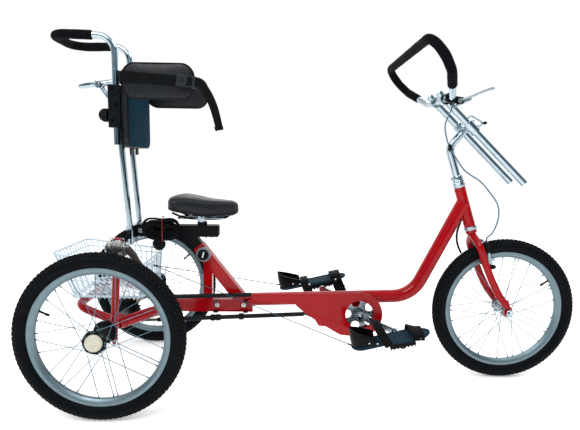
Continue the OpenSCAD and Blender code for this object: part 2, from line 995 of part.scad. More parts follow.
module front_brake() {
    boss_s = -fork_len + rim_r - 36;
    color("#8e9396")
    on_head()
    mirror_y() {
        rod([8, -fork_gap / 2 + 4, boss_s], [27, -fork_gap / 2 + 4, boss_s], 6);
        rod([22, -fork_gap / 2 + 6, boss_s], [24, -fork_gap / 2 + 2, boss_s + 92], 5.5);
        rod([22, -fork_gap / 2 + 6, boss_s + 19], [22, -rim_w / 2 - 13, boss_s + 19], 4);
        translate([-4, -rim_w / 2 - 14, boss_s + 13])
        cube([50, 11, 11]);
    }
    color("#8e9396")
    on_head()
    bent_tube([[24, fork_gap / 2 - 2, boss_s + 92], [24, -fork_gap / 2 + 2, boss_s + 92],
        [24, -fork_gap / 2 - 14, boss_s + 112]], 3, 12);
}

// ring of points about one point of a route
function ring_at(p, u, r, sides) =
    let (a = unit(cross(u, abs(u[1]) < 0.9 ? [0, 1, 0] : [1, 0, 0])), b = cross(u, a))
    [for (k = [0:sides - 1]) p + r * (cos(360 * k / sides) * a + sin(360 * k / sides) * b)];

// point of a smooth curve through four corner points
function curve_at(p0, p1, p2, p3, t) =
    0.5 * (2 * p1 + (p2 - p0) * t + (2 * p0 - 5 * p1 + 4 * p2 - p3) * t * t
    + (3 * p1 - p0 - 3 * p2 + p3) * t * t * t);

module swept_cord(route, r, sides, steps) {
    last = len(route) - 1;
    line = concat([for (i = [0:last - 1], k = [0:steps - 1])
        curve_at(route[max(0, i - 1)], route[i], route[i + 1], route[min(last, i + 2)], k / steps)], [route[last]]);
    n = len(line) - 1;
    rings = [for (i = [0:n]) each ring_at(line[i], unit(line[min(n, i + 1)] - line[max(0, i - 1)]), r, sides)];
    polyhedron(points = rings, faces = concat(
        [[for (k = [0:sides - 1]) k]],
        [[for (k = [sides - 1:-1:0]) n * sides + k]],
        [for (i = [0:n - 1], k = [0:sides - 1])
            [i * sides + k, (i + 1) * sides + k, (i + 1) * sides + (k + 1) % sides, i * sides + (k + 1) % sides]]));
}

cable_route = [[-114, -99, 411], [-118, -86, 390], [-114, -52, 374], [-113, -22, 345], [-106, -20, 307],
    [-91, -18, 271], [-68, -26, 232], [-40, -34, 193], [9, -44, 159], [40, -51, 124], [66, -57, 86], [72, -62, 50],
    [66, -63, 14], [52, -64, -16], [37, -64, -29]];

module brake_cable() {
    color("#3c4650")
    swept_cord([for (p = cable_route) race + p], 2.5, 8, 4);
}

main_frame();
rear_rail();
rear_frame();
seat_mast();
mast_knob();
seat_rail();
saddle_post();
saddle();
chain_guard();
chain();
chain_sleeves();
rear_axle();
rear_sprocket();
parking_brake();
basket();
back_uprights();
back_clamps();
back_pad();
side_pads();
chest_belt();
push_handle();
push_grip();
cord_hank();
headset();
tyre_rear_right();
rim_rear_right();
spokes_rear_right();
hub_rear_right();
tyre_rear_left();
rim_rear_left();
spokes_rear_left();
hub_rear_left();
tyre_front();
rim_front();
spokes_front();
hub_front();
fork();
front_axle();
stem();
handlebar();
handlebar_foam();
brake_lever();
front_brake();
brake_cable();
crankset();
foot_plate_right();
foot_plate_left();
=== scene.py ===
"""Visual model of an adaptive delta tricycle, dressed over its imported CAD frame.

Lengths are metres in the row frame: +X ahead, +Y to the rider's left, +Z up, with the origin on the ground.
The camera and the cord are made first, then each sub-assembly builds its own surfaces and finishes.
"""

import logging
import math
from dataclasses import dataclass, field
from enum import Enum

import bmesh
import bpy
import numpy as np
from mathutils import Matrix, Vector
from mathutils.bvhtree import BVHTree


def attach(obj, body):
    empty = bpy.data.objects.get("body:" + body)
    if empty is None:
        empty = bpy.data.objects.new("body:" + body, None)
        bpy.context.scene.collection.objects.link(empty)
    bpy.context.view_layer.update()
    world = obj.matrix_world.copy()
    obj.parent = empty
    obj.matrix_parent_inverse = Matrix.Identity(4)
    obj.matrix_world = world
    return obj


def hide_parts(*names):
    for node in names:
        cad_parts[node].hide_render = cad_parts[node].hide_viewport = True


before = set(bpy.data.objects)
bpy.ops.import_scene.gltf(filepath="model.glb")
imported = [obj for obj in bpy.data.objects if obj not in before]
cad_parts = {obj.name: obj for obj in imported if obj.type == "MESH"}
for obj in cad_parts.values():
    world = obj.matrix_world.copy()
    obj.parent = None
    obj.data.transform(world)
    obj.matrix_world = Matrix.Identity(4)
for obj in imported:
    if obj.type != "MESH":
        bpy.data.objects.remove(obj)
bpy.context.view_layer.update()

LOG = logging.getLogger("tricycle")

WHEEL_R = 0.253
REAR_X = -0.662
FRONT_X = 0.662
HALF_TRACK = 0.306
HEAD = math.radians(18)
X, Y, Z = np.eye(3)
AXLE = np.array([REAR_X, 0.0, WHEEL_R])
AXIS_UP = np.array([-math.sin(HEAD), 0.0, math.cos(HEAD)])
AXIS_OUT = np.array([math.cos(HEAD), 0.0, math.sin(HEAD)])
RACE = np.array([FRONT_X, 0.0, WHEEL_R]) - 0.036 * AXIS_OUT + (WHEEL_R + 0.072) * AXIS_UP
BAR_LOW = RACE + [-0.128, 0.0, 0.428]
BAR_UP = np.array([-0.63, 0.0, 0.777])
BRACKET = np.array([REAR_X + 0.801, 0.0, WHEEL_R - 0.010])
CRANK_TILT = math.radians(24)
PIN_RIGHT = BRACKET + [0.130 * math.cos(CRANK_TILT), -0.160, -0.130 * math.sin(CRANK_TILT)]
PIN_LEFT = BRACKET + [-0.130 * math.cos(CRANK_TILT), 0.160, 0.130 * math.sin(CRANK_TILT)]


def mm(*values: float) -> np.ndarray:
    """Millimetres as a metre array."""
    return np.array(values, float) * 0.001


def from_rear(x: float, y: float, z: float) -> np.ndarray:
    """A point given in millimetres from the middle of the rear axle, in metres of the row frame."""
    return AXLE + mm(x, y, z)


def on_head(x: float, y: float, z: float) -> np.ndarray:
    """A point given in millimetres along the steering axis from the lower race, in metres."""
    return RACE + 0.001 * (x * AXIS_OUT + y * Y + z * AXIS_UP)


def unit(v: np.ndarray) -> np.ndarray:
    """Each vector of an array divided by its length."""
    return v / np.maximum(np.linalg.norm(v, axis=-1, keepdims=True), 1e-12)


# ---- surfaces


@dataclass
class Shell:
    """A surface as arrays.

    Attributes:
        points: the places of the points, n by 3.
        faces: one array of point numbers for each count of corners.
        uvs: a pair of metres for each face corner, in the same order as faces.
    """

    points: np.ndarray
    faces: list[np.ndarray]
    uvs: list[np.ndarray]

    def placed(self, matrix: np.ndarray) -> "Shell":
        """The surface turned and moved by a 4 by 4 matrix."""
        return Shell(self.points @ matrix[:3, :3].T + matrix[:3, 3], self.faces, self.uvs)

    def on(self, at: np.ndarray, axis: np.ndarray, hint: np.ndarray | None = None) -> "Shell":
        """The surface standing on a point, with its +Z along an axis."""
        return self.placed(placed(at, axis, hint))


def join(*shells: Shell) -> Shell:
    """Several surfaces as one, each with its point numbers moved past those before it."""
    starts = np.cumsum([0] + [len(s.points) for s in shells[:-1]])
    return Shell(
        np.concatenate([s.points for s in shells]),
        [f + start for s, start in zip(shells, starts) for f in s.faces],
        [u for s in shells for u in s.uvs],
    )


def repeat(shell: Shell, matrices: np.ndarray) -> Shell:
    """Copies of a small surface: every point times every matrix, worked out at once.

    Args:
        shell: the surface that is repeated.
        matrices: k by 4 by 4 places.
    Returns:
        One surface with k copies.
    """
    count = len(matrices)
    points = np.einsum("kij,nj->kni", matrices[:, :3, :3], shell.points) + matrices[:, None, :3, 3]
    shift = np.arange(count)[:, None, None] * len(shell.points)
    return Shell(
        points.reshape(-1, 3),
        [(f[None] + shift).reshape(-1, f.shape[1]) for f in shell.faces],
        [np.tile(u, (count, 1, 1)) for u in shell.uvs],
    )


def lattice(
    points: np.ndarray,
    wrap_rows: bool = False,
    wrap_cols: bool = True,
    capped: bool = True,
    size: tuple[float, float] = (1.0, 1.0),
) -> Shell:
    """Quads between neighbouring rows and columns of a grid of points.

    Args:
        points: rows by columns by 3.
        wrap_rows: joins the last row to the first.
        wrap_cols: joins the last column to the first.
        capped: closes the two end rows with one face each.
        size: real length along the rows and round the columns, for the UV map.
    Returns:
        The surface.
    """
    rows, cols = points.shape[:2]
    row_count = rows if wrap_rows else rows - 1
    col_count = cols if wrap_cols else cols - 1
    i, j = (a.ravel() for a in np.meshgrid(np.arange(row_count), np.arange(col_count), indexing="ij"))
    i2, j2 = (i + 1) % rows, (j + 1) % cols
    quads = np.stack([i * cols + j, i * cols + j2, i2 * cols + j2, i2 * cols + j], 1)
    u = np.stack([j, j + 1, j + 1, j], 1) / col_count * size[1]
    v = np.stack([i, i, i + 1, i + 1], 1) / row_count * size[0]
    faces, uvs = [quads], [np.stack([u, v], 2)]
    if capped and wrap_cols and not wrap_rows:
        for ring in (np.arange(cols)[::-1], (rows - 1) * cols + np.arange(cols)):
            faces.append(ring[None])
            uvs.append(np.zeros((1, cols, 2)))
    return Shell(points.reshape(-1, 3), faces, uvs)


def arc_length(path: np.ndarray) -> np.ndarray:
    """Distance along a path at each of its points."""
    return np.concatenate([[0.0], np.cumsum(np.linalg.norm(np.diff(path, axis=0), axis=1))])


def resample(path: np.ndarray, at: np.ndarray) -> np.ndarray:
    """Points of a path at given distances along it, straight between its own points."""
    s = arc_length(path)
    return np.stack([np.interp(at, s, path[:, k]) for k in range(3)], 1)


def evenly(path: np.ndarray, step: float) -> np.ndarray:
    """A path cut into equal steps of about the given length."""
    long = arc_length(path)[-1]
    return resample(path, np.linspace(0, long, max(2, int(round(long / step)) + 1)))


def spline(points: np.ndarray, per: int = 8, closed: bool = False) -> np.ndarray:
    """A smooth path through points: the Catmull-Rom cubic between each pair, at all its steps at once."""
    p = np.asarray(points, float)
    p = np.concatenate([p[-1:], p, p[:2]]) if closed else np.concatenate([p[:1], p, p[-1:]])
    t = np.linspace(0, 1, per, endpoint=False)[:, None]
    a, b, c, d = p[:-3, None], p[1:-2, None], p[2:-1, None], p[3:, None]
    curve = 0.5 * (2 * b + (c - a) * t + (2 * a - 5 * b + 4 * c - d) * t**2 + (3 * b - a - 3 * c + d) * t**3)
    curve = curve.reshape(-1, 3)
    return curve if closed else np.concatenate([curve, p[-2:-1]])


def fillet(points: list[np.ndarray], bend: float, per: int = 10) -> np.ndarray:
    """A path of straight runs whose corners are arcs of one radius.

    Each arc starts bend times the tangent of half the turn before its corner, and its middle lies on the
    line that halves the corner.
    """
    p = np.asarray(points, float)
    parts = [p[:1]]
    for before, corner, after in zip(p[:-2], p[1:-1], p[2:]):
        u, v = unit(corner - before), unit(after - corner)
        half = math.acos(float(np.clip(u @ v, -1, 1))) / 2
        side = unit(v - (u @ v) * u)
        start = corner - bend * math.tan(half) * u
        a = np.linspace(0, 2 * half, per)[:, None]
        parts.append(start + bend * (np.sin(a) * u + (1 - np.cos(a)) * side))
    return np.concatenate([*parts, p[-1:]])


def frames(path: np.ndarray, closed: bool = False, up: np.ndarray | None = None) -> tuple[np.ndarray, np.ndarray]:
    """Side and top directions at each point of a path.

    Args:
        path: the points.
        closed: whether the path returns to its start.
        up: the direction, one or one for each point, that top keeps to. Without it the side is carried
            from each ring to the next with the least turn.
    Returns:
        The side and top directions.
    """
    ahead = np.roll(path, -1, 0) - np.roll(path, 1, 0) if closed else np.gradient(path, axis=0)
    t = unit(ahead)
    if up is not None:
        side = unit(np.cross(np.broadcast_to(up, t.shape), t))
        return side, np.cross(t, side)
    side = np.empty_like(t)
    first = Y if abs(t[0, 1]) < 0.9 else X
    side[0] = unit(first - (first @ t[0]) * t[0])
    for k in range(1, len(t)):  # each ring's side needs the one before it
        side[k] = unit(side[k - 1] - (side[k - 1] @ t[k]) * t[k])
    return side, np.cross(t, side)


def sweep(
    path: np.ndarray,
    outline: np.ndarray,
    scale: np.ndarray | float = 1.0,
    closed: bool = False,
    up: np.ndarray | None = None,
) -> Shell:
    """An outline carried along a path: path point plus outline x times side plus outline y times top.

    Args:
        path: n points.
        outline: m pairs, a closed loop.
        scale: one number, or one for each path point.
        closed: whether the path is a loop.
        up: see frames.
    Returns:
        The closed surface.
    """
    side, top = frames(path, closed, up)
    s = np.broadcast_to(np.asarray(scale, float), (len(path),))[:, None, None]
    points = path[:, None] + s * (outline[None, :, :1] * side[:, None] + outline[None, :, 1:] * top[:, None])
    around = np.linalg.norm(np.roll(outline, -1, 0) - outline, axis=1).sum()
    return lattice(points, wrap_rows=closed, size=(arc_length(path)[-1], around))


def full_turn(steps: int) -> np.ndarray:
    """Equal steps of angle once round."""
    return np.linspace(0, 2 * math.pi, steps, endpoint=False)


def polar(r: np.ndarray | float, a: np.ndarray) -> np.ndarray:
    """Points at a radius and angle, as pairs."""
    return np.stack([r * np.cos(a), r * np.sin(a)], 1)


def circle(radius: float = 1.0, sides: int = 12) -> np.ndarray:
    """Points of a circle."""
    return polar(radius, full_turn(sides))


def soft_ends(path: np.ndarray, soft: float, steps: int = 6) -> tuple[np.ndarray, np.ndarray]:
    """Where the rings of a bar with round ends stand along its path, and how far each is drawn in, from 0 to 1.

    Over the length soft at either end a ring is drawn in by one minus the height of a quarter circle.
    """
    s = arc_length(path)
    long = s[-1]
    turn = soft * (1 - np.cos(np.linspace(0, math.pi / 2, steps)))
    at = np.concatenate([turn, s[(s > soft * 1.05) & (s < long - soft * 1.05)], long - turn[::-1]])
    near = np.minimum(at, long - at)
    return at, 1 - np.sqrt(np.clip(1 - (1 - np.minimum(near, soft) / soft) ** 2, 0, 1))


def tube(path: np.ndarray, radius: float, sides: int = 12, soft: float = 0.0, closed: bool = False) -> Shell:
    """A round bar along a path, whose ends are rounded over the length soft."""
    if soft <= 0 or closed:
        return sweep(path, circle(radius, sides), closed=closed)
    at, drop = soft_ends(path, soft)
    return sweep(resample(path, at), circle(1.0, sides), radius - soft * drop)


def flat_outline(width: float, thick: float) -> np.ndarray:
    """The section of a strap: a long rectangle with rounded edges, across and through."""
    w, t = width / 2, thick / 2
    v = w - t * 0.4
    return np.array([[-w, 0], [-v, -t], [0, -t], [v, -t], [w, 0], [v, t], [0, t], [-v, t]])


def strap(path: np.ndarray, width: float, thick: float, normal: np.ndarray) -> Shell:
    """A flat strap along a path, lying with its face along normal."""
    side, top = frames(path, up=normal)
    outline = flat_outline(width, thick)
    points = path[:, None] + outline[None, :, :1] * side[:, None] + outline[None, :, 1:] * top[:, None]
    return lattice(points, size=(arc_length(path)[-1], 2 * (width + thick)))


def revolve(profile: list[tuple[float, float]] | np.ndarray, sides: int = 32, closed: bool = False) -> Shell:
    """A profile of radius and height turned about +Z: (r cos a, r sin a, h) for all a at once.

    Args:
        profile: pairs of radius and height. A closed profile is a ring's section.
        sides: steps round the axis.
        closed: whether the profile is a loop.
    Returns:
        The surface.
    """
    p = np.asarray(profile, float)
    a = full_turn(sides)
    points = np.stack(
        [p[:, :1] * np.cos(a), p[:, :1] * np.sin(a), np.broadcast_to(p[:, 1:], (len(p), sides))], 2
    )
    long, girth = arc_length(np.c_[p, p[:, 0] * 0])[-1], 2 * math.pi * float(p[:, 0].max())
    return lattice(points, wrap_rows=closed, size=(long, girth))


def trail(*numbers: float) -> np.ndarray:
    """Points in space from their coordinates in turn, in millimetres."""
    return mm(*numbers).reshape(-1, 3)


def smoothed(row: np.ndarray, reach: int = 3) -> np.ndarray:
    """A row of numbers averaged over its neighbours on either side, with its ends held."""
    count = 2 * reach + 1
    return np.convolve(np.pad(row, reach, mode="edge"), np.ones(count) / count, "valid")


def turned(sides: int, *profile: float) -> Shell:
    """A solid of revolution from its profile's radii and heights in turn, in millimetres."""
    return revolve(mm(*profile).reshape(-1, 2), sides)


def collar(sides: int, *profile: float) -> Shell:
    """A ring from its section's radii and heights in turn, in millimetres."""
    return revolve(mm(*profile).reshape(-1, 2), sides, closed=True)


def placed(at: np.ndarray, z_axis: np.ndarray, x_hint: np.ndarray | None = None) -> np.ndarray:
    """The 4 by 4 matrix that puts +Z along z_axis at a point, with +X as near x_hint as it goes."""
    z = unit(np.asarray(z_axis, float))
    hint = np.asarray(x_hint if x_hint is not None else ([1.0, 0.0, 0.0] if abs(z[0]) < 0.9 else [0.0, 0.0, 1.0]), float)
    x = unit(hint - (hint @ z) * z)
    m = np.eye(4)
    m[:3, 0], m[:3, 1], m[:3, 2], m[:3, 3] = x, np.cross(z, x), z, at
    return m


def plate(outline: np.ndarray, thick: float, chamfer: float = 0.0006) -> Shell:
    """A flat plate in XY, centred on its thickness, with its two rims drawn in by the chamfer."""
    ahead = unit(np.roll(outline, -1, 0) - np.roll(outline, 1, 0))
    area = np.sum(outline[:, 0] * np.roll(outline[:, 1], -1) - np.roll(outline[:, 0], -1) * outline[:, 1])
    out = np.stack([ahead[:, 1], -ahead[:, 0]], 1) * np.sign(area)
    inner = outline - chamfer * out
    rows = [(inner, -thick / 2), (outline, -thick / 2 + chamfer), (outline, thick / 2 - chamfer), (inner, thick / 2)]
    points = np.stack([np.c_[o, np.full(len(o), z)] for o, z in rows])
    return lattice(points, size=(thick, float(np.linalg.norm(np.diff(outline, axis=0), axis=1).sum())))


def round_rect(width: float, height: float, radius: float, per: int = 5) -> np.ndarray:
    """Outline of a rectangle with round corners."""
    quarter = polar(radius, np.linspace(0, math.pi / 2, per))
    corner = np.array([width / 2 - radius, height / 2 - radius])
    right_angles = math.pi / 2 * np.arange(4)
    turns = [np.array([[math.cos(t), -math.sin(t)], [math.sin(t), math.cos(t)]]) for t in right_angles]
    signs = np.array([[1, 1], [-1, 1], [-1, -1], [1, -1]])
    return np.concatenate([quarter @ t.T + corner * s for t, s in zip(turns, signs)])


def tablet(wide: float, tall: float, corner: float, thick: float, chamfer: float) -> Shell:
    """A flat plate with round corners, with its sizes in millimetres."""
    return plate(round_rect(*mm(wide, tall, corner)), *mm(thick, chamfer))


class Head(Enum):
    """Kinds of bolt head."""

    HEX = "hex"
    SOCKET = "socket"
    DOME = "dome"


def bolt(at: np.ndarray, axis: np.ndarray, radius: float, kind: Head = Head.HEX, washer: bool = True) -> Shell:
    """A bolt head on an optional washer, standing along axis from a point on the surface it holds."""
    r, parts, base = radius, [], 0.0
    if washer:
        flat = [(0, -0.0004), (r * 1.5, -0.0004), (r * 1.55, r * 0.1), (r * 1.45, r * 0.2), (0, r * 0.2)]
        parts.append(revolve(flat, 20))
        base = r * 0.2
    if kind is Head.HEX:
        nut = [(0, 0), (1, 0), (1, 0.62), (0.86, 0.74), (0, 0.74)]
        tip = [(0, 0), (0.42, 0), (0.42, 1), (0.32, 1.1), (0, 1.1)]
        parts += [revolve(np.array(p) * r + [0, base], sides) for p, sides in ((nut, 6), (tip, 12))]
    elif kind is Head.SOCKET:
        socket = [(0, 0), (1, 0), (1, 0.85), (0.9, 1), (0.55, 1), (0.5, 0.4), (0, 0.4)]
        parts.append(revolve(np.array(socket) * r + [0, base], 18))
    else:
        a = np.linspace(0, math.pi / 2, 6)
        parts.append(revolve([(0, base), *zip(r * np.cos(a), base + 0.7 * r * np.sin(a))], 16))
    return join(*parts).on(at, axis)


def weld(centre: np.ndarray, axis: np.ndarray, radius: float, bead: float, lobes: int = 40) -> Shell:
    """A welded ring: a torus whose bead swells and sinks with each pool of metal."""
    a = full_turn(lobes * 4)
    path = np.c_[polar(radius, a), np.zeros_like(a)]
    ripple = bead * (1 + 0.16 * np.cos(a * lobes))
    return sweep(path, circle(1.0, 8), ripple, closed=True, up=Z).on(centre, axis)


# ---- finishes


def linear(hex_value: str) -> tuple[float, float, float, float]:
    """An sRGB hex colour as linear red, green, blue and one."""
    raw = np.array([int(hex_value[k : k + 2], 16) / 255 for k in (1, 3, 5)])
    low, high = raw / 12.92, ((raw + 0.055) / 1.055) ** 2.4
    return (*np.where(raw <= 0.04045, low, high).tolist(), 1.0)


def add(tree: bpy.types.NodeTree, kind: str, settings: dict | None = None, links: dict | None = None) -> bpy.types.Node:
    """Adds one node.

    Args:
        tree: the node tree.
        kind: the node's type name.
        settings: its own options by name, and unlinked sockets by name or number.
        links: sockets that feed it, by name or number.
    Returns:
        The node.
    """
    node = tree.nodes.new(kind)
    for key, value in (settings or {}).items():
        if isinstance(key, str) and hasattr(node, key):
            setattr(node, key, value)
        else:
            node.inputs[key].default_value = value
    for key, source in (links or {}).items():
        tree.links.new(source, node.inputs[key])
    return node


class Relief(Enum):
    """How a surface was made, which gives its small relief."""

    PEEL = "sprayed or cast skin"
    BRUSHED = "drawn or brushed metal"
    GRAIN = "leather grain"
    WEAVE = "woven tape"
    CLOTH = "fine coated cloth"
    CELLS = "foam cells"


@dataclass(frozen=True)
class Finish:
    """One real material.

    Attributes:
        name: what it is and how it was made.
        colour: its main sRGB colour.
        second: the colour it varies towards.
        patch_mm: size of the colour patches.
        share: how far the patches go towards the second colour.
        rough: lowest and highest roughness.
        relief: the kind of small relief.
        grain_mm: size of one grain, thread or cell.
        depth_mm: height of the relief.
        metallic: 1 for bare metal.
        coat: weight of a clear coat.
        sheen: weight of fibre sheen.
        specular: level of the plain reflection.
        glow: strength of its own white light.
    """

    name: str
    colour: str
    second: str
    patch_mm: float = 60.0
    share: float = 0.5
    rough: tuple[float, float] = (0.3, 0.45)
    relief: Relief = Relief.PEEL
    grain_mm: float = 1.5
    depth_mm: float = 0.03
    metallic: float = 0.0
    coat: float = 0.0
    sheen: float = 0.0
    specular: float = 0.5
    glow: float = 0.0

    def height(
        self, tree: bpy.types.NodeTree, where: bpy.types.NodeSocket, uv: bpy.types.NodeSocket
    ) -> bpy.types.NodeSocket:
        """The relief's height from 0 to 1. A pattern of size s metres has a texture scale of 1 / s."""
        scale = 1000.0 / self.grain_mm
        if self.relief is Relief.BRUSHED:
            stretched = add(tree, "ShaderNodeMapping", {"Scale": (1.0, 14.0, 14.0)}, {"Vector": where})
            inputs = {"Scale": scale / 14, "Detail": 3.0}
            return add(tree, "ShaderNodeTexNoise", inputs, {"Vector": stretched.outputs[0]}).outputs[0]
        if self.relief is Relief.GRAIN:
            cells = add(tree, "ShaderNodeTexVoronoi", {"Scale": scale, "feature": "DISTANCE_TO_EDGE"}, {"Vector": where})
            ramp = add(tree, "ShaderNodeMapRange", {1: 0.0, 2: 0.25, 3: 0.0, 4: 1.0}, {0: cells.outputs[0]})
            return ramp.outputs[0]
        if self.relief in (Relief.WEAVE, Relief.CLOTH):
            source = uv if self.relief is Relief.WEAVE else where
            turns = [(0.0, 0.6, 0.8), (0.7, 0.0, -0.8)]
            if self.relief is Relief.WEAVE:
                turns = [(0.0, 0.0, 0.0), (0.0, 0.0, math.pi / 2)]
            waves = []
            for turn in turns:
                tilted = add(tree, "ShaderNodeMapping", {"Rotation": turn}, {"Vector": source})
                # a wave texture's bands are 2 pi / 20 of a unit apart at scale 1
                inputs = {"Scale": scale * 0.314, "Distortion": 0.4, "Detail": 1.0}
                wave = add(tree, "ShaderNodeTexWave", inputs, {"Vector": tilted.outputs[0]})
                waves.append(wave.outputs[1])
            return add(tree, "ShaderNodeMath", {"operation": "MULTIPLY"}, {0: waves[0], 1: waves[1]}).outputs[0]
        if self.relief is Relief.CELLS:
            cells = add(tree, "ShaderNodeTexVoronoi", {"Scale": scale, "feature": "F1"}, {"Vector": where})
            return cells.outputs[0]
        inputs = {"Scale": scale, "Detail": 4.0, "Roughness": 0.55}
        return add(tree, "ShaderNodeTexNoise", inputs, {"Vector": where}).outputs[0]

    def material(self) -> bpy.types.Material:
        """The material, made once."""
        found = bpy.data.materials.get(self.name)
        if found:
            return found
        made = bpy.data.materials.new(self.name)
        made.use_nodes = True
        tree = made.node_tree
        tree.nodes.clear()
        spot = add(tree, "ShaderNodeTexCoord")
        where, uv = spot.outputs["Object"], spot.outputs["UV"]
        inputs = {"Scale": 1000.0 / self.patch_mm, "Detail": 5.0, "Roughness": 0.6}
        patches = add(tree, "ShaderNodeTexNoise", inputs, {"Vector": where})
        amount = add(tree, "ShaderNodeMapRange", {1: 0.35, 2: 0.7, 3: 0.0, 4: self.share}, {0: patches.outputs[0]})
        tint = add(
            tree,
            "ShaderNodeMix",
            {"data_type": "RGBA", 6: linear(self.colour), 7: linear(self.second)},
            {0: amount.outputs[0]},
        )
        inputs = {"Scale": 1000.0 / (self.patch_mm * 0.35), "Detail": 3.0}
        smears = add(tree, "ShaderNodeTexNoise", inputs, {"Vector": where})
        inputs = {1: 0.3, 2: 0.7, 3: self.rough[0], 4: self.rough[1]}
        rough = add(tree, "ShaderNodeMapRange", inputs, {0: smears.outputs[0]})
        bump = add(
            tree,
            "ShaderNodeBump",
            {"Strength": 0.9, "Distance": self.depth_mm * 0.001},
            {"Height": self.height(tree, where, uv)},
        )
        shader = add(
            tree,
            "ShaderNodeBsdfPrincipled",
            {
                "Metallic": self.metallic,
                "Coat Weight": self.coat,
                "Coat Roughness": 0.06,
                "Sheen Weight": self.sheen,
                "Sheen Roughness": 0.45,
                "Specular IOR Level": self.specular,
                "Emission Strength": self.glow,
            },
            {"Base Color": tint.outputs[2], "Roughness": rough.outputs[0], "Normal": bump.outputs[0]},
        )
        add(tree, "ShaderNodeOutputMaterial", {}, {"Surface": shader.outputs[0]})
        return made


# Gloss enamel sprayed over steel tube: deep red, an even skin with faint orange peel.
RED = Finish("red gloss enamel", "#a1050f", "#86040c", 140, 0.45, (0.10, 0.18), Relief.PEEL, 2.2, 0.008, coat=0.16, specular=0.14)
# Plated and polished steel: a mirror with faint smears from handling.
CHROME = Finish("polished chrome plate", "#b3c1c8", "#90a2ab", 30, 0.4, (0.04, 0.12), Relief.PEEL, 5.0, 0.006, metallic=1.0)
# Black powder coat on steel: satin with a fine grit.
BLACK = Finish("satin black powder coat", "#090b0e", "#101317", 40, 0.6, (0.36, 0.5), Relief.PEEL, 0.9, 0.03, specular=0.1)
# Turned mild steel: grey, with the fine drawn lines of the lathe.
STEEL = Finish("turned mild steel", "#8a8d8f", "#5f5c58", 18, 0.5, (0.28, 0.45), Relief.BRUSHED, 0.6, 0.02, metallic=1.0)
# Zinc plated brake parts that have dulled with a yellow cast.
ZINC = Finish("dulled zinc plate", "#c4c3bf", "#8d8b86", 9, 0.6, (0.2, 0.4), Relief.PEEL, 0.8, 0.03, metallic=1.0)
# Cast and polished aluminium: pale, softly shining.
ALLOY = Finish("polished cast aluminium", "#a7b1b6", "#848f95", 22, 0.5, (0.18, 0.36), Relief.PEEL, 1.1, 0.015, metallic=1.0)
# Anodised rim: cool pale grey, turned round the wheel and nearly matt.
RIM = Finish("satin anodised aluminium", "#74868d", "#62747b", 50, 0.4, (0.34, 0.48), Relief.PEEL, 0.7, 0.01, metallic=0.8)
# Drawn stainless wire.
SPOKE = Finish("drawn stainless wire", "#607b87", "#45606c", 25, 0.5, (0.2, 0.34), Relief.BRUSHED, 0.5, 0.006, metallic=1.0)
# Cured tyre rubber: black gone slightly brown and chalky on the tread.
TREAD = Finish("cured tread rubber", "#121315", "#1f1e1c", 16, 0.6, (0.62, 0.85), Relief.PEEL, 0.8, 0.10, specular=0.07)
# The same rubber where it was moulded smooth.
WALL = Finish("smooth sidewall rubber", "#07090c", "#0d1114", 35, 0.6, (0.5, 0.66), Relief.PEEL, 0.6, 0.03, specular=0.06)
# Vinyl stretched over a moulded seat: dark brown-black with a pressed leather grain, given here a blue-grey cast that
# is painted reflection.
VINYL = Finish("grained seat vinyl", "#111317", "#1b1c20", 45, 0.5, (0.34, 0.48), Relief.GRAIN, 1.3, 0.07, specular=0.25)
# Coated nylon cloth over foam: blue-black, close woven, with a soft sheen.
CLOTH = Finish("coated nylon cloth", "#07090d", "#0d1219", 70, 0.6, (0.36, 0.5), Relief.CLOTH, 1.1, 0.04, sheen=0.04, specular=0.3)
# The back cushion's front cloth: the same weave in navy; its blue is partly painted sheen, the light that the forward
# face catches painted into its colour.
NAVY_WITH_PAINTED_SHEEN = Finish("navy nylon cloth with painted sheen", "#122b38", "#193847", 60, 0.6, (0.75, 0.88), Relief.CLOTH, 1.1, 0.04, specular=0.02)
# Piping of the same cloth drawn over a cord.
PIPING = Finish("sewn cloth piping", "#06070a", "#0c0f14", 20, 0.5, (0.45, 0.58), Relief.CLOTH, 0.9, 0.05, specular=0.15)
# Woven nylon tape. Threads are 1.6 mm apart here, coarser than the real 0.8 mm, so that they show.
TAPE = Finish("woven nylon tape", "#050608", "#0d0f12", 25, 0.5, (0.55, 0.7), Relief.WEAVE, 1.6, 0.2, sheen=0.02, specular=0.08)
# Closed cell foam sleeve: dull black with fine open cells at the skin.
FOAM = Finish("closed cell foam sleeve", "#08090c", "#101216", 30, 0.6, (0.7, 0.88), Relief.CELLS, 1.1, 0.10, specular=0.05)
# White plastic dipped over basket wire.
WHITE = Finish("white dipped plastic", "#cfdfe8", "#b3c8d4", 40, 0.6, (0.3, 0.42), Relief.PEEL, 3.0, 0.03, coat=0.1, specular=0.3)
# Moulded glass-filled nylon of the foot plates: slate black.
SLATE = Finish("moulded slate nylon", "#182d3a", "#223b49", 35, 0.6, (0.6, 0.75), Relief.PEEL, 0.7, 0.04, specular=0.05)
# Black injection moulded plastic.
PLASTIC = Finish("moulded black plastic", "#06080a", "#0d0f12", 30, 0.5, (0.32, 0.48), Relief.PEEL, 0.8, 0.03, specular=0.1)
# Glass-filled nylon of the belt buckle: charcoal, a little paler than the tape under it.
BUCKLE = Finish("charcoal buckle nylon", "#17191c", "#222528", 30, 0.5, (0.3, 0.42), Relief.PEEL, 0.8, 0.03, specular=0.4)
# Cream moulded dust cap.
CREAM = Finish("cream moulded cap", "#cbc7b4", "#b2ab93", 18, 0.5, (0.34, 0.46), Relief.PEEL, 1.0, 0.02, coat=0.1)
# White nylon rivets and marks.
NYLON = Finish("white nylon rivet", "#e4e8e6", "#ccd2d0", 8, 0.4, (0.3, 0.42), Relief.PEEL, 0.7, 0.02)
# Thin jacketed cable and cords.
JACKET = Finish("cable jacket", "#203543", "#34505f", 30, 0.5, (0.34, 0.46), Relief.PEEL, 1.0, 0.02, specular=0.2)
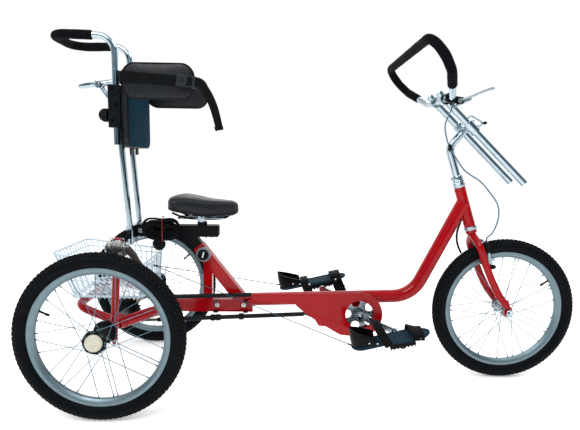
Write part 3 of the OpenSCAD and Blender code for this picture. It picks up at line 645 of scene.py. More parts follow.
# Thin grey-blue jacket of the brake cable.
CABLE = Finish("grey-blue cable jacket", "#48687a", "#63879a", 30, 0.5, (0.34, 0.46), Relief.PEEL, 1.0, 0.02, specular=0.3)
# Braided black cord of the hank.
BRAID = Finish("braided black cord", "#060709", "#0e1013", 12, 0.6, (0.6, 0.78), Relief.WEAVE, 2.0, 0.25, sheen=0.03, specular=0.08)
# Red rubber tie and caps.
RED_RUBBER = Finish("red rubber", "#8d1f2b", "#6f1520", 8, 0.5, (0.4, 0.55), Relief.PEEL, 0.8, 0.03)
# Old brown-grey rubber grip.
GRIP = Finish("worn rubber grip", "#2b2724", "#413932", 9, 0.7, (0.5, 0.68), Relief.PEEL, 0.8, 0.08, specular=0.3)
# Oiled roller chain.
CHAIN = Finish("oiled chain steel", "#5a554f", "#2d2925", 7, 0.8, (0.3, 0.5), Relief.PEEL, 0.8, 0.02, metallic=1.0)
# Dull plastic tube round the chain.
SLEEVE = Finish("extruded plastic tube", "#0a0c0f", "#14171a", 60, 0.5, (0.34, 0.46), Relief.PEEL, 1.2, 0.03, specular=0.12)
# The studio's floor, whose faint glow lifts it to the sky's white.
PAPER = Finish("white studio paper", "#ffffff", "#fbfcfd", 900, 0.5, (0.8, 0.9), Relief.PEEL, 9.0, 0.02, glow=0.30)


# ---- pieces


def write_mesh(name: str, shell: Shell) -> bpy.types.Mesh:
    """A mesh from a surface's arrays, with its doubles merged and its faces pointing out."""
    mesh = bpy.data.meshes.new(name)
    corners = np.concatenate([f.ravel() for f in shell.faces]).astype(np.int32)
    counts = np.concatenate([np.full(len(f), f.shape[1]) for f in shell.faces])
    starts = np.concatenate([[0], np.cumsum(counts)[:-1]]).astype(np.int32)
    mesh.vertices.add(len(shell.points))
    mesh.vertices.foreach_set("co", shell.points.astype(np.float32).ravel())
    mesh.loops.add(len(corners))
    mesh.loops.foreach_set("vertex_index", corners)
    mesh.polygons.add(len(starts))
    mesh.polygons.foreach_set("loop_start", starts)
    mesh.update(calc_edges=True)
    layer = mesh.uv_layers.new(name="metres")
    layer.data.foreach_set("uv", np.concatenate([u.reshape(-1, 2) for u in shell.uvs]).astype(np.float32).ravel())
    mesh.validate()
    tidy = bmesh.new()
    tidy.from_mesh(mesh)
    bmesh.ops.remove_doubles(tidy, verts=tidy.verts, dist=2e-6)
    bmesh.ops.recalc_face_normals(tidy, faces=tidy.faces)
    tidy.to_mesh(mesh)
    tidy.free()
    return mesh


def make(
    name: str,
    shell: Shell,
    finish: Finish,
    body: str,
    replaces: tuple[str, ...] = (),
    sharp: float = 38.0,
    subdivide: int = 0,
) -> bpy.types.Object:
    """Makes one finished piece.

    Args:
        name: the piece's name.
        shell: its surface, already in the row frame.
        finish: its material.
        body: the CAD body that it rides on.
        replaces: CAD nodes that it stands for.
        sharp: edges that turn more than this many degrees stay sharp.
        subdivide: levels of a subdivision surface.
    Returns:
        The object.
    """
    mesh = write_mesh(name, shell)
    mesh.shade_smooth()
    mesh.set_sharp_from_angle(angle=math.radians(sharp))
    mesh.materials.append(finish.material())
    piece = bpy.data.objects.new(name, mesh)
    bpy.context.scene.collection.objects.link(piece)
    if subdivide:
        rounder = piece.modifiers.new("round", "SUBSURF")
        rounder.levels = rounder.render_levels = subdivide
    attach(piece, body)
    if replaces:
        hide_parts(*replaces)
    LOG.info("%s on %s, %d faces", name, body, len(mesh.polygons))
    return piece


def dress(node: str, finish: Finish) -> None:
    """Gives a CAD node that stays in view its finish."""
    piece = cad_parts[node]
    piece.data.materials.clear()
    piece.data.materials.append(finish.material())
    LOG.info("%s wears %s", node, finish.name)


def ray_y(tree: BVHTree, x: np.ndarray, z: np.ndarray, start: float, toward: float) -> np.ndarray:
    """Where lines along Y at each x and z first meet a surface, or start where they miss it."""
    hits = [tree.ray_cast(Vector((a, start, b)), Vector((0, toward, 0)))[0] for a, b in zip(x, z)]
    return np.array([start if h is None else h.y for h in hits])


# ---- studio


@dataclass
class Studio:
    """Camera, floor and soft lights."""

    place: tuple[float, float, float] = (-0.133, -1.6533, 0.7828)
    pan: float = 0.0161
    tilt: float = 0.1208
    roll: float = -0.0141
    focal_share: float = 476.67 / 580.0

    def camera(self) -> None:
        """Sets the camera: pan about Z, then tilt down, then roll about the view."""
        right = np.array([math.cos(self.pan), -math.sin(self.pan), 0.0])
        ahead = np.array([math.sin(self.pan), math.cos(self.pan), 0.0])
        down = -Z
        ahead, down = (
            math.cos(self.tilt) * ahead + math.sin(self.tilt) * down,
            math.cos(self.tilt) * down - math.sin(self.tilt) * ahead,
        )
        right, down = (
            math.cos(self.roll) * right + math.sin(self.roll) * down,
            math.cos(self.roll) * down - math.sin(self.roll) * right,
        )
        data = bpy.data.cameras.new("view")
        data.sensor_width = 36.0
        data.lens = 36.0 * self.focal_share
        camera = bpy.data.objects.new("view", data)
        m = np.eye(4)
        m[:3, 0], m[:3, 1], m[:3, 2], m[:3, 3] = right, -down, -ahead, self.place
        camera.matrix_world = Matrix(m.tolist())
        bpy.context.scene.collection.objects.link(camera)
        bpy.context.scene.camera = camera

    def lights(self) -> None:
        """Three large soft lights under a white sky, which is dark with pale streaks behind the camera.

        The sky's streaks are bands of height, so that bright metal mirrors them as long dark lines.
        """
        for name, at, size, power in (
            ("key", (-1.2, -2.4, 3.2), 1.9, 74.0),
            ("fill", (1.7, -1.1, 3.3), 1.4, 26.0),
            ("rim", (0.2, 2.6, 2.4), 2.4, 26.0),
        ):
            data = bpy.data.lights.new(name, "AREA")
            data.size, data.energy = size, power
            light = bpy.data.objects.new(name, data)
            light.matrix_world = Matrix(placed(np.array(at), np.array(at) - [0.0, 0.0, 0.45]).tolist())
            bpy.context.scene.collection.objects.link(light)
        world = bpy.data.worlds.new("sky")
        world.use_nodes = True
        tree = world.node_tree
        tree.nodes.clear()
        spot = add(tree, "ShaderNodeTexCoord")
        split = add(tree, "ShaderNodeSeparateXYZ", {}, {0: spot.outputs["Generated"]})
        turn = add(tree, "ShaderNodeMapRange", {1: -1.0, 2: 1.0, 3: 0.0, 4: 1.0}, {0: split.outputs[2]})
        ramp = add(tree, "ShaderNodeValToRGB", {}, {0: turn.outputs[0]})
        stops = ramp.color_ramp.elements
        stops[0].position, stops[0].color = 0.0, linear("#dfe6ea")
        stops[1].position, stops[1].color = 1.0, linear("#e4eaee")
        for at, tone in (
            (0.44, "#b9c8d0"), (0.50, "#2f4b5a"), (0.55, "#16222b"), (0.62, "#8fb2c2"),
            (0.68, "#203542"), (0.78, "#3b5361"), (0.88, "#cdd6dc"),
        ):
            stops.new(at).color = linear(tone)
        # upright pale streaks at a few bearings, for upright tubes
        turns = add(tree, "ShaderNodeMath", {"operation": "MULTIPLY", 1: 7.0}, {0: split.outputs[0]})
        wave = add(tree, "ShaderNodeMath", {"operation": "SINE"}, {0: turns.outputs[0]})
        streak = add(tree, "ShaderNodeMapRange", {1: 0.55, 2: 0.95, 3: 0.0, 4: 0.8}, {0: wave.outputs[0]})
        inputs = {"data_type": "RGBA", 7: linear("#dbe6ec")}
        front = add(tree, "ShaderNodeMix", inputs, {0: streak.outputs[0], 6: ramp.outputs[0]})
        ahead = add(tree, "ShaderNodeMapRange", {1: -0.25, 2: 0.05, 3: 0.0, 4: 1.0}, {0: split.outputs[1]})
        # what is seen directly is plain white; only reflections and light take the dark side
        seen = add(tree, "ShaderNodeLightPath").outputs["Is Camera Ray"]
        plain = add(tree, "ShaderNodeMath", {"operation": "MAXIMUM"}, {0: ahead.outputs[0], 1: seen})
        inputs = {"data_type": "RGBA", 7: linear("#ffffff")}
        sky = add(tree, "ShaderNodeMix", inputs, {0: plain.outputs[0], 6: front.outputs[2]})
        back = add(tree, "ShaderNodeBackground", {"Strength": 1.02}, {0: sky.outputs[2]})
        add(tree, "ShaderNodeOutputWorld", {}, {0: back.outputs[0]})
        bpy.context.scene.world = world
        bpy.context.scene.view_settings.view_transform = "Standard"

    def floor(self) -> None:
        """A wide pale floor that stands just under the tyres."""
        mesh = bpy.data.meshes.new("floor")
        mesh.from_pydata([(-14, -14, 0), (14, -14, 0), (14, 14, 0), (-14, 14, 0)], [], [(0, 1, 2, 3)])
        mesh.materials.append(PAPER.material())
        floor = bpy.data.objects.new("floor", mesh)
        bpy.context.scene.collection.objects.link(floor)

    def build(self) -> None:
        """Makes the whole studio."""
        self.camera()
        self.lights()
        self.floor()


# ---- cord


@dataclass
class CordHank:
    """A limp cord folded into a loose hank beside the seat rail, tied at its waist, with its plug below.

    Attributes:
        thick: the cord's diameter.
        turns: loops in each layer.
        folds: for each layer its middle in millimetres from the hank's, its smallest radius, the half
            length of its straight runs and its lean in degrees.
    """

    thick: float = 0.0062
    turns: int = 3
    folds: tuple[tuple[float, ...], ...] = (
        (-6, -8, 15, 34, 4), (-22, 4, 15, 18, -14), (14, 2, 15, 24, 16), (0, -12, 15, 34, -4))
    middle: np.ndarray = field(default_factory=lambda: from_rear(116, 0, 283))
    face_y: float = -0.0203

    def route(self) -> np.ndarray:
        """The cord's line: racetrack loops that widen by a diameter each, then go on in the next fold.

        Within a fold the radius grows, or in every second fold shrinks, by one diameter a loop, so that its
        loops lie side by side. Near each change of fold all its numbers blend, and each fold lies a
        diameter further from the rail than the one before.
        """
        d = self.thick * 1.03
        per, count, blend = 48, len(self.folds), 2.5
        last = self.turns * count - 0.5
        t = np.linspace(0, last, int(per * last) + 1)
        fold = np.minimum(np.floor(t / self.turns), count - 1)
        inside = t - fold * self.turns
        grow = np.where(fold % 2 == 0, inside, self.turns - inside)
        near = np.clip(np.round(t / self.turns), 1, count - 1)
        share = np.clip((t - near * self.turns) / blend + 0.5, 0, 1)
        layer = np.where(np.abs(t - near * self.turns) < blend / 2, near - 1 + share**2 * (3 - 2 * share), fold)
        x0, z0, base, half, lean = (np.interp(layer, np.arange(count), column) for column in np.array(self.folds, float).T)
        radius = base * 0.001 + d * grow
        run = np.maximum(half * 0.001 - 0.3 * d * grow, 0.004)
        a = 2 * math.pi * t
        x = radius * np.cos(a) + run * np.tanh(2.6 * np.cos(a)) + 0.0006 * np.sin(2.3 * a)
        z = radius * np.sin(a) * (1 + 0.03 * np.sin(1.7 * a + 0.6))
        lean = np.radians(lean)
        return self.middle * [1, 0, 1] + np.stack([
            0.001 * x0 + x * np.cos(lean) - z * np.sin(lean),
            self.face_y - 0.0034 - d * layer - 0.0007 * (1 + np.sin(1.3 * a)),
            0.001 * z0 + x * np.sin(lean) + z * np.cos(lean),
        ], 1)

    def build(self) -> None:
        """Makes the cord, its tie and its plug."""
        path = self.route()
        path[0, 1] = self.face_y - 0.0005
        top = from_rear(108, -32, 243)
        end, half_way = path[-1], (path[-1, 2] + top[2]) / 2
        tail = fillet([end, np.array([*end[:2], half_way]), np.array([*top[:2], half_way]), top - mm(0, 0, 3)], 0.0135)
        path = evenly(np.concatenate([path, tail[1:]]), 0.004)
        for _ in range(4):  # a cord's own stiffness: each point goes to the mean of itself and its neighbours
            path[1:-1] = (path[:-2] + 2 * path[1:-1] + path[2:]) / 4
        path = evenly(path, 0.004)
        cord = make("hank_cord", tube(path, self.thick / 2, 8), BRAID, "frame", ("cord_hank",))
        a = np.linspace(0, math.pi / 2, 9)
        cup = [(0, 0.003), (0.007, 0.003), (0.009, 0.0), (0.0165, -0.002), (0.0205, -0.006), (0.0222, -0.015)]
        cup += list(zip(0.0222 * np.cos(a[1:]) ** 0.9, -0.015 - 0.023 * np.sin(a[1:])))
        shape = revolve(cup, 32)
        shape.points[:, 1] *= 0.62
        plug = make("hank_plug", shape.on(top, np.array([0.07, 0.0, 1.0]), X), PLASTIC, "frame")
        loop = round_rect(0.030, 0.085, 0.010, 6)
        ring = np.c_[np.zeros(len(loop)), loop] + [-0.540, self.face_y - 0.0140, self.middle[2] - 0.003]
        make("hank_tie", tube(ring, 0.0016, 8, closed=True), RED_RUBBER, "frame")


@dataclass
class LevellingCords:
    """Two taut thin cords from the basket to the heels, which keep the foot plates level."""

    radius: float = 0.0014

    def build(self) -> None:
        """Makes both cords with their end loops."""
        start = np.array([-0.584, 0.0, 0.398])
        parts = []
        for end in (PIN_RIGHT + mm(-158, 0, -16), PIN_LEFT + mm(-160, 0, -8)):
            parts.append(tube(np.linspace(start, end, 40), self.radius, 8))
            ahead = unit(end - start)
            for spot, sign in ((start, 1), (end, -1)):
                parts.append(tube(np.linspace(spot, spot + sign * ahead * 0.014, 6), 0.0026, 10, soft=0.0015))
        parts.append(bolt(start - mm(3, 0, 0), X, 0.0042, Head.DOME))
        make("levelling_cords", join(*parts), JACKET, "frame")


# ---- wheels


@dataclass
class Wheel:
    """One spoked wheel: tyre with its tread blocks, rim, nipples, hub and valve."""

    name: str
    body: str
    x: float
    y: float
    flange_r: float
    flange_gap: float
    cap_side: int
    valve_deg: float
    spoke_count: int = 28
    rim_r: float = 0.209
    rim_in: float = 0.188

    def spin(self) -> np.ndarray:
        """The matrix from the wheel's own axes, with +Z along the axle, to the row frame."""
        return placed(np.array([self.x, self.y, WHEEL_R]), Y, X)

    def carcass(self) -> Shell:
        """The tyre's body: a round section about 45 mm wide, drawn in to the rim beads.

        The section's angle runs from one bead over the crown to the other. Its radius is 22.6 mm with a
        slightly flat crown and two moulded ribs on each wall.
        """
        a = np.linspace(math.radians(-152), math.radians(152), 30)
        flat = 0.0008 * np.cos(a).clip(0) ** 8
        outer = polar(0.0226 - flat, a) + [0.2278, 0.0]
        ribs = 0.0006 * (np.exp(-(((np.abs(a) - 2.1) / 0.06) ** 2)) + np.exp(-(((np.abs(a) - 1.55) / 0.05) ** 2)))
        outer += polar(ribs, a)
        inner = [[0.2030, 0.0095], [0.2015, 0.0], [0.2030, -0.0095]]
        return revolve(np.concatenate([outer, inner]), 128, closed=True).placed(self.spin())

    def blocks(self) -> Shell:
        """The tread: rows of small tapered blocks, with each row half a pitch from the next.

        A block stands on the carcass at an angle round the section, and its top is a quarter smaller than
        its foot.
        """
        pitches = 100
        foot = np.array([[-1, -1], [1, -1], [1, 1], [-1, 1]], float)
        rows = []
        for section, width, long, shift, tall in (
            (0.0, 5.8, 8.6, 0.0, 3.2), (19.0, 5.2, 8.0, 0.5, 3.1), (-19.0, 5.2, 8.0, 0.5, 3.1),
            (38.0, 5.4, 8.6, 0.0, 3.1), (-38.0, 5.4, 8.6, 0.0, 3.1),
            (60.0, 8.4, 6.6, 0.5, 2.9), (-60.0, 8.4, 6.6, 0.5, 2.9),
        ):
            low = np.c_[foot * mm(long / 2, width / 2), np.full(4, -0.001)]
            top = np.c_[foot * mm(long / 2, width / 2) * 0.76, np.full(4, tall * 0.001)]
            block = lattice(np.stack([low, top]), capped=True)
            a = math.radians(section)
            theta = (np.arange(pitches) + shift) * 2 * math.pi / pitches
            round_y = np.c_[polar(1.0, theta), np.zeros(pitches)]
            out = math.cos(a) * round_y + [0.0, 0.0, math.sin(a)]
            ahead = np.cross(Z, round_y)
            m = np.tile(np.eye(4), (pitches, 1, 1))
            m[:, :3, 0], m[:, :3, 1], m[:, :3, 2] = ahead, np.cross(out, ahead), out
            m[:, :3, 3] = 0.2278 * round_y + 0.0220 * out
            rows.append(repeat(block, m))
        return join(*rows).placed(self.spin())

    def rim(self) -> Shell:
        """The rim: a box section with hooked edges, as a closed loop of radius and width."""
        low = mm(0, 0, 0.4, 5, 2.2, 7.5, 8.5, 11.2, 10.5, 12.4, 12.5, 12.8).reshape(-1, 2) + [self.rim_in, 0]
        high = mm(-1.2, 12.8, 0, 12, -0.3, 10.8, -3.5, 10.4, -7, 8.8, -8.5, 0).reshape(-1, 2) + [self.rim_r, 0]
        half = np.concatenate([low, high])
        return revolve(np.concatenate([half, half[-2:0:-1] * [1, -1]]), 128, closed=True).placed(self.spin())

    def spoke_ends(self) -> tuple[np.ndarray, np.ndarray]:
        """The flange and rim ends of every spoke, by the same rule as the spokes themselves.

        Each flange has half the spokes. They leave in pairs that lean 62 degrees each way from their hole.
        """
        pairs = self.spoke_count // 4
        side, k, lean = (g.ravel() for g in np.meshgrid([-1.0, 1.0], np.arange(pairs), [-1.0, 1.0], indexing="ij"))
        step = 2 * math.pi / pairs
        foot = k * step + side * step / 8 + lean * step / 8
        tip = foot + lean * math.radians(62)
        hole = self.flange_r - 0.004
        inner = np.insert(polar(hole, foot), 1, side * self.flange_gap / 2 + lean * 0.0024, axis=1)
        outer = np.insert(polar(self.rim_in + 0.0015, tip), 1, side * 0.0025, axis=1)
        centre = np.array([self.x, self.y, WHEEL_R])
        return centre + inner, centre + outer

    def nipples(self) -> Shell:
        """A small brass-bright nipple where each spoke meets the rim."""
        one = turned(8, 0, 0, 2.1, 0, 2.1, 7, 1.4, 10, 0, 10)
        return repeat(one, np.stack([placed(o, i - o) for i, o in zip(*self.spoke_ends())]))

    def spoke_heads(self) -> Shell:
        """Round spoke heads on the flanges."""
        inner, _ = self.spoke_ends()
        out = np.where(inner[:, 1] > self.y, 1.0, -1.0)
        at = inner.copy()
        at[:, 1] = self.y + out * (self.flange_gap / 2 + 0.0030)
        a = np.linspace(0, math.pi / 2, 4)
        one = revolve([(0, -0.001), (0.0026, -0.001), *zip(0.0026 * np.cos(a), 0.0014 * np.sin(a))], 10)
        return repeat(one, np.stack([placed(p, o * Y) for p, o in zip(at, out)]))

    def valve(self) -> Shell:
        """The valve stem with its knurled cap, standing in from the rim."""
        a = math.radians(self.valve_deg)
        out = np.array([math.cos(a), 0.0, math.sin(a)])
        at = np.array([self.x, self.y, WHEEL_R]) + out * (self.rim_in + 0.002)
        return turned(14, 0, 0, 4.2, 0, 4.2, 3, 3.1, 4, 3.1, 21, 4, 22, 4, 31, 3.2, 33, 0, 33).on(at, -out)

    def hub(self) -> None:
        """The hub shell, and the dust cap of a rear wheel."""
        r = self.flange_r * 1000
        if self.cap_side:
            sides, finish, slot = 56, BLACK, "hub_black"
            half = mm(10.2, 44, 28, 44, 30, 43.2, r - 1, 44, r, 43, r, 39.2, r - 1, 38.2, 26, 37.5, 22.5, 32, 21.5, 0)
        else:
            sides, finish, slot = 48, ALLOY, "hub_alloy"
            half = mm(5.2, 46.6, 12.5, 46.6, 14, 45.5, 14, 40, 16.5, 35, r - 0.8, 33.8,
                      r, 33, r, 29.2, r - 1, 28.4, 17.5, 26.5, 15, 20, 14.2, 0)
        half = half.reshape(-1, 2)
        shell = revolve(np.concatenate([half, half[-2::-1] * [1, -1]]), sides, closed=True).placed(self.spin())
        make(f"hub_shell_{self.name}", shell, finish, self.body, (f"hub_{self.name}",))
        if self.cap_side:
            a = np.linspace(0, math.pi / 2, 10)[1:]
            dome = zip(0.0250 * np.cos(a) ** 0.75, 0.0060 + 0.0068 * np.sin(a))
            cap = [(0, 0), (0.0247, 0), (0.0250, 0.0015), (0.0250, 0.0060), *dome]
            at = np.array([self.x, self.y + self.cap_side * 0.0438, WHEEL_R])
            make(f"dust_cap_{self.name}", revolve(cap, 48).on(at, self.cap_side * Y), CREAM, self.body)
        make(f"spoke_heads_{self.name}", self.spoke_heads(), SPOKE, self.body)

    def build(self) -> None:
        """Makes every part of the wheel."""
        make(f"tyre_wall_{self.name}", self.carcass(), WALL, self.body, (f"tyre_{self.name}",), sharp=50)
        make(f"tyre_tread_{self.name}", self.blocks(), TREAD, self.body, sharp=20)
        make(f"rim_band_{self.name}", self.rim(), RIM, self.body, (f"rim_{self.name}",), sharp=30)
        make(f"nipples_{self.name}", self.nipples(), SPOKE, self.body)
        make(f"valve_{self.name}", self.valve(), PLASTIC, self.body)
        self.hub()
        dress(f"spokes_{self.name}", SPOKE)


# ---- soft goods


@dataclass
class Pad:
    """A sewn cushion: a boxed pad swollen by a cloth simulation between its two seams, with piping on them.

    Attributes:
        name: the piece's name.
        centre: middle of the pad.
        across, up: the directions of its width and height, as unit vectors.
        width, height, thick: its size.
        corner: radius of its face's corners.
        nodes: CAD nodes that it stands for.
        cap: furthest that the filling moves its cover.
        front: cloth of the panel that faces width times height, if it has its own.
    """

    name: str
    centre: np.ndarray
    across: np.ndarray
    up: np.ndarray
    width: float
    height: float
    thick: float
    corner: float
    nodes: tuple[str, ...]
    cap: float = 0.009
    front: Finish = CLOTH

    def place(self, flat: np.ndarray) -> np.ndarray:
        """Pad coordinates of width, height and thickness as points of the row frame."""
        through = np.cross(self.across, self.up)
        return self.centre + flat[..., :1] * self.across + flat[..., 1:2] * self.up + flat[..., 2:] * through

    def seam(self, z: float, inset: float = 0.002) -> np.ndarray:
        """The seam round one face, as points of the row frame."""
        loop = round_rect(self.width - 2 * inset, self.height - 2 * inset, self.corner, 10)
        return self.place(np.c_[loop, np.full(len(loop), z)])

    def start_shape(self) -> Shell:
        """The pad before it swells: outlines stacked through its thickness, with a low crown on each face.

        From the middle of a face out to its seam the height falls as one minus the sixth power of the
        share of the way out.
        """
        half = self.thick / 2
        rows = []
        for share in (0.04, 0.3, 0.55, 0.75, 0.88, 0.96):
            loop = round_rect((self.width - 0.006) * share, (self.height - 0.006) * share, self.corner * share, 10)
            rows.append((loop, half - 0.003 - 0.004 * share**6))
        edge = round_rect(self.width - 0.004, self.height - 0.004, self.corner, 10)
        belt = round_rect(self.width - 0.002, self.height - 0.002, self.corner, 10)
        upper = rows + [(edge, half - 0.0075), (belt, half * 0.45)]
        stack = upper + [(belt, 0.0)] + [(loop, -z) for loop, z in upper[::-1]]
        points = np.stack([np.c_[loop, np.full(len(loop), z)] for loop, z in stack])
        return lattice(self.place(points), size=(self.height, self.width * 2))

    def swell(self, piece: bpy.types.Object) -> None:
        """Fills the pad: voxel remesh, cloth under pressure with the seams held, and a cap on each move."""
        scene = bpy.context.scene
        voxels = piece.modifiers.new("voxels", "REMESH")
        voxels.mode, voxels.voxel_size = "VOXEL", 0.0045
        soft = bpy.data.meshes.new_from_object(piece.evaluated_get(bpy.context.evaluated_depsgraph_get()))
        piece.modifiers.clear()
        piece.data = soft
        rest = np.empty(len(soft.vertices) * 3, np.float32)
        soft.vertices.foreach_get("co", rest)
        rest = rest.reshape(-1, 3).astype(float)
        seams = np.concatenate([self.seam(self.thick / 2 - 0.0085), self.seam(-self.thick / 2 + 0.0085)])
        near = np.sqrt(((rest[:, None] - seams[None]) ** 2).sum(2)).min(1)
        group = piece.vertex_groups.new(name="seam")
        group.add(np.nonzero(near < 0.0055)[0].tolist(), 1.0, "REPLACE")
        cloth = piece.modifiers.new("fill", "CLOTH")
        cloth.settings.quality = 6
        cloth.settings.mass = 0.25
        cloth.settings.tension_stiffness = cloth.settings.compression_stiffness = 8.0
        cloth.settings.bending_stiffness = 0.15
        cloth.settings.use_pressure = True
        cloth.settings.uniform_pressure_force = 4.0
        cloth.settings.effector_weights.gravity = 0.0
        cloth.settings.vertex_group_mass = "seam"
        for step in range(1, 21):
            scene.frame_set(step)
        filled = piece.evaluated_get(bpy.context.evaluated_depsgraph_get()).to_mesh()
        moved = np.empty(len(filled.vertices) * 3, np.float32)
        filled.vertices.foreach_get("co", moved)
        move = moved.reshape(-1, 3).astype(float) - rest
        long = np.linalg.norm(move, axis=1, keepdims=True)
        rest += move * np.minimum(1.0, self.cap / np.maximum(long, 1e-9))
        piece.modifiers.clear()
        piece.vertex_groups.clear()
        scene.frame_set(1)
        soft.vertices.foreach_set("co", rest.astype(np.float32).ravel())
        soft.update()

    def build(self) -> bpy.types.Object:
        """Makes the pad and its piping."""
        piece = make(self.name, self.start_shape(), CLOTH, "frame", self.nodes)
        self.swell(piece)
        piece.data.materials.clear()
        piece.data.materials.append(CLOTH.material())
        piece.data.shade_smooth()
        # faces turned forward take the front cloth; on the back cushion that navy is partly painted sheen
        if self.front is not CLOTH:
            piece.data.materials.append(self.front.material())
            normals = np.empty(len(piece.data.polygons) * 3, np.float32)
            piece.data.polygons.foreach_get("normal", normals)
            ahead = normals.reshape(-1, 3) @ np.cross(self.across, self.up)
            piece.data.polygons.foreach_set("material_index", (ahead > 0.7).astype(np.int32))
        rounder = piece.modifiers.new("round", "SUBSURF")
        rounder.levels = rounder.render_levels = 1
        edge = self.thick / 2 - 0.0075
        rows = [tube(self.seam(z, 0.0012), 0.0017, 8, closed=True) for z in (edge, -edge)]
        make(f"{self.name}_piping", join(*rows), PIPING, "frame")
        return piece


@dataclass
class BackSupport:
    """Back pad, two side pads, the chest belt and the fittings that hold them."""

    side_y: float = 0.1203
    side_thick: float = 0.028

    def pads(self) -> bpy.types.Object:
        """Makes the three pads and returns the near one, which the belt lies on."""
        # the forward face's navy cloth is partly painted sheen
        Pad("back_cushion", from_rear(31, 0, 677), Y, Z, 0.240, 0.248, 0.034, 0.030, ("back_pad",), front=NAVY_WITH_PAINTED_SHEEN).build()
        middle = (self.side_y + self.side_thick / 2) * 1000
        size = (X, Z, 0.221, 0.110, self.side_thick, 0.038)
        Pad("side_cushion_left", from_rear(140.5, middle, 757), *size, ()).build()
        return Pad("side_cushion_right", from_rear(140.5, -middle, 757), *size, ("side_pads",)).build()

    def belt(self, pad: bpy.types.Object) -> None:
        """The chest belt: webbing over the near pad's outer face, a side-release buckle and a free tail."""
        bpy.context.view_layer.update()
        tree = BVHTree.FromObject(pad, bpy.context.evaluated_depsgraph_get())
        x = np.linspace(-0.630, -0.424, 44)
        z = 1.0220 - (x + 0.632) * 0.07
        y = ray_y(tree, x, z, -0.30, 1.0)
        y = np.where(y < -0.29, -0.148, y)
        y = np.minimum(smoothed(y), -0.1475) - 0.0016
        face = np.stack([x, y, z], 1)
        behind = trail(-640, -118, 1022.5, -641.5, -132, 1022.5, -638, -144, 1022.2)
        ahead = trail(-406, -147, 1006, -401.5, -140, 1005.8, -401, -130, 1005.5)
        path = evenly(spline(np.concatenate([behind, face[1:-1:3], ahead]), 6), 0.004)
        out = np.zeros_like(path)
        out[:, 1] = -1.0
        out[path[:, 0] < -0.634] = [-1.0, -0.3, 0.0]
        out[path[:, 0] > -0.4085] = [1.0, -0.5, 0.0]
        out = unit(np.stack([smoothed(column) for column in out.T], 1))
        tail = evenly(spline(trail(
            -452, -157, 1009, -425, -161, 1008, -403, -159, 1008, -387, -156.5, 999.5,
            -365, -156, 969, -346, -157, 926, -329, -160, 862), 8), 0.004)
        twist = np.linspace(0, 1, len(tail))[:, None]
        tail_up = unit(-Y * (1 - 0.35 * twist) + np.array([0.55, 0.0, 0.25]) * twist)
        fold = evenly(trail(-329.2, -161.5, 863, -334.5, -162.2, 876), 0.003)
        straps = [
            strap(path, 0.032, 0.0017, out), strap(tail, 0.027, 0.0016, tail_up),
            strap(fold, 0.027, 0.0016, np.array([0.3, -1.0, 0.2])),
        ]
        make("chest_belt_tape", join(*straps), TAPE, "frame", ("chest_belt",))
        slabs = (  # the buckle's body and two bars, its three prongs and its grip ribs: the middle, then tablet's sizes
            (-9, 0, 0, 30, 36, 4, 8.5, 1.6), (25, 0, 0, 8.5, 38, 3, 9.5, 1.8), (-25, 0, 0, 6, 38, 2.5, 9.5, 1.8),
            *((14, y0, 0, 24, 8.5, 3, 7.5, 1.4) for y0 in (-12.5, 0, 12.5)),
            *((x0, 0, 4.8, 1.6, 24, 0.7, 1.6, 0.4) for x0 in (-14, -10, -6)),
        )
        buckle = join(*[tablet(*slab[3:]).on(mm(*slab[:3]), Z, X) for slab in slabs])
        buckle = buckle.on(mm(-433.5, -157.2, 1008.5), -Y, np.array([1.0, 0.0, -0.13]))
        make("belt_buckle", buckle, BUCKLE, "frame")

    def fittings(self) -> None:
        """Clamp knob, bolts and the hinge hardware behind the pad."""
        for node, finish in (("back_uprights", CHROME), ("back_clamps", BLACK)):
            dress(node, finish)
        a = full_turn(96)
        lobes = plate(polar(0.0205 + 0.0009 * np.cos(a * 12), a), 0.019, 0.0022)
        boss = turned(20, 0, 0, 8, 0, 8, 10, 6, 12, 0, 12)
        knob = [part.on(from_rear(x, y, 656), -X) for y in (-76, 76) for x, part in ((-45, lobes), (-52, boss))]
        make("clamp_knobs", join(*knob), PLASTIC, "frame")
        tabs = [tablet(30, 24, 5, 5, 1).on(from_rear(20, y, 545), X) for y in (30, -30)]
        bolts = []
        for side in (-1, 1):
            out = side * Y
            for x, z in ((-20, 640), (-6, 690), (-20, 738)):
                tabs.append(bolt(from_rear(x, side * 92, z), out, 0.0040, Head.SOCKET))
            ring = collar(28, 8.7, -6, 10.6, -6, 11.2, -4, 11.2, 4, 10.6, 6, 8.7, 6)
            bolts += [
                bolt(from_rear(-90, side * 17, 762), out, 0.0062), bolt(from_rear(13, side * 60, 271), out, 0.0048),
                ring.on(from_rear(-89, side * 12, 761), out),
            ]
        make("back_support_fixings", join(*tabs), PLASTIC, "frame")
        tilt = math.radians(8)
        cap_at = from_rear(-22, 0, 775) - 0.0805 * np.array([math.cos(tilt), 0, math.sin(tilt)])
        cap = collar(32, 8.7, -4, 12.2, -4, 12.8, -2, 12.8, 0, 11.8, 2, 8.7, 2)
        bolts.append(cap.on(cap_at, np.array([-0.99, 0.0, -0.139])))
        make("back_support_bolts", join(*bolts), CHROME, "frame")

    def build(self) -> None:
        """Makes the back support."""
        self.belt(self.pads())
        self.fittings()


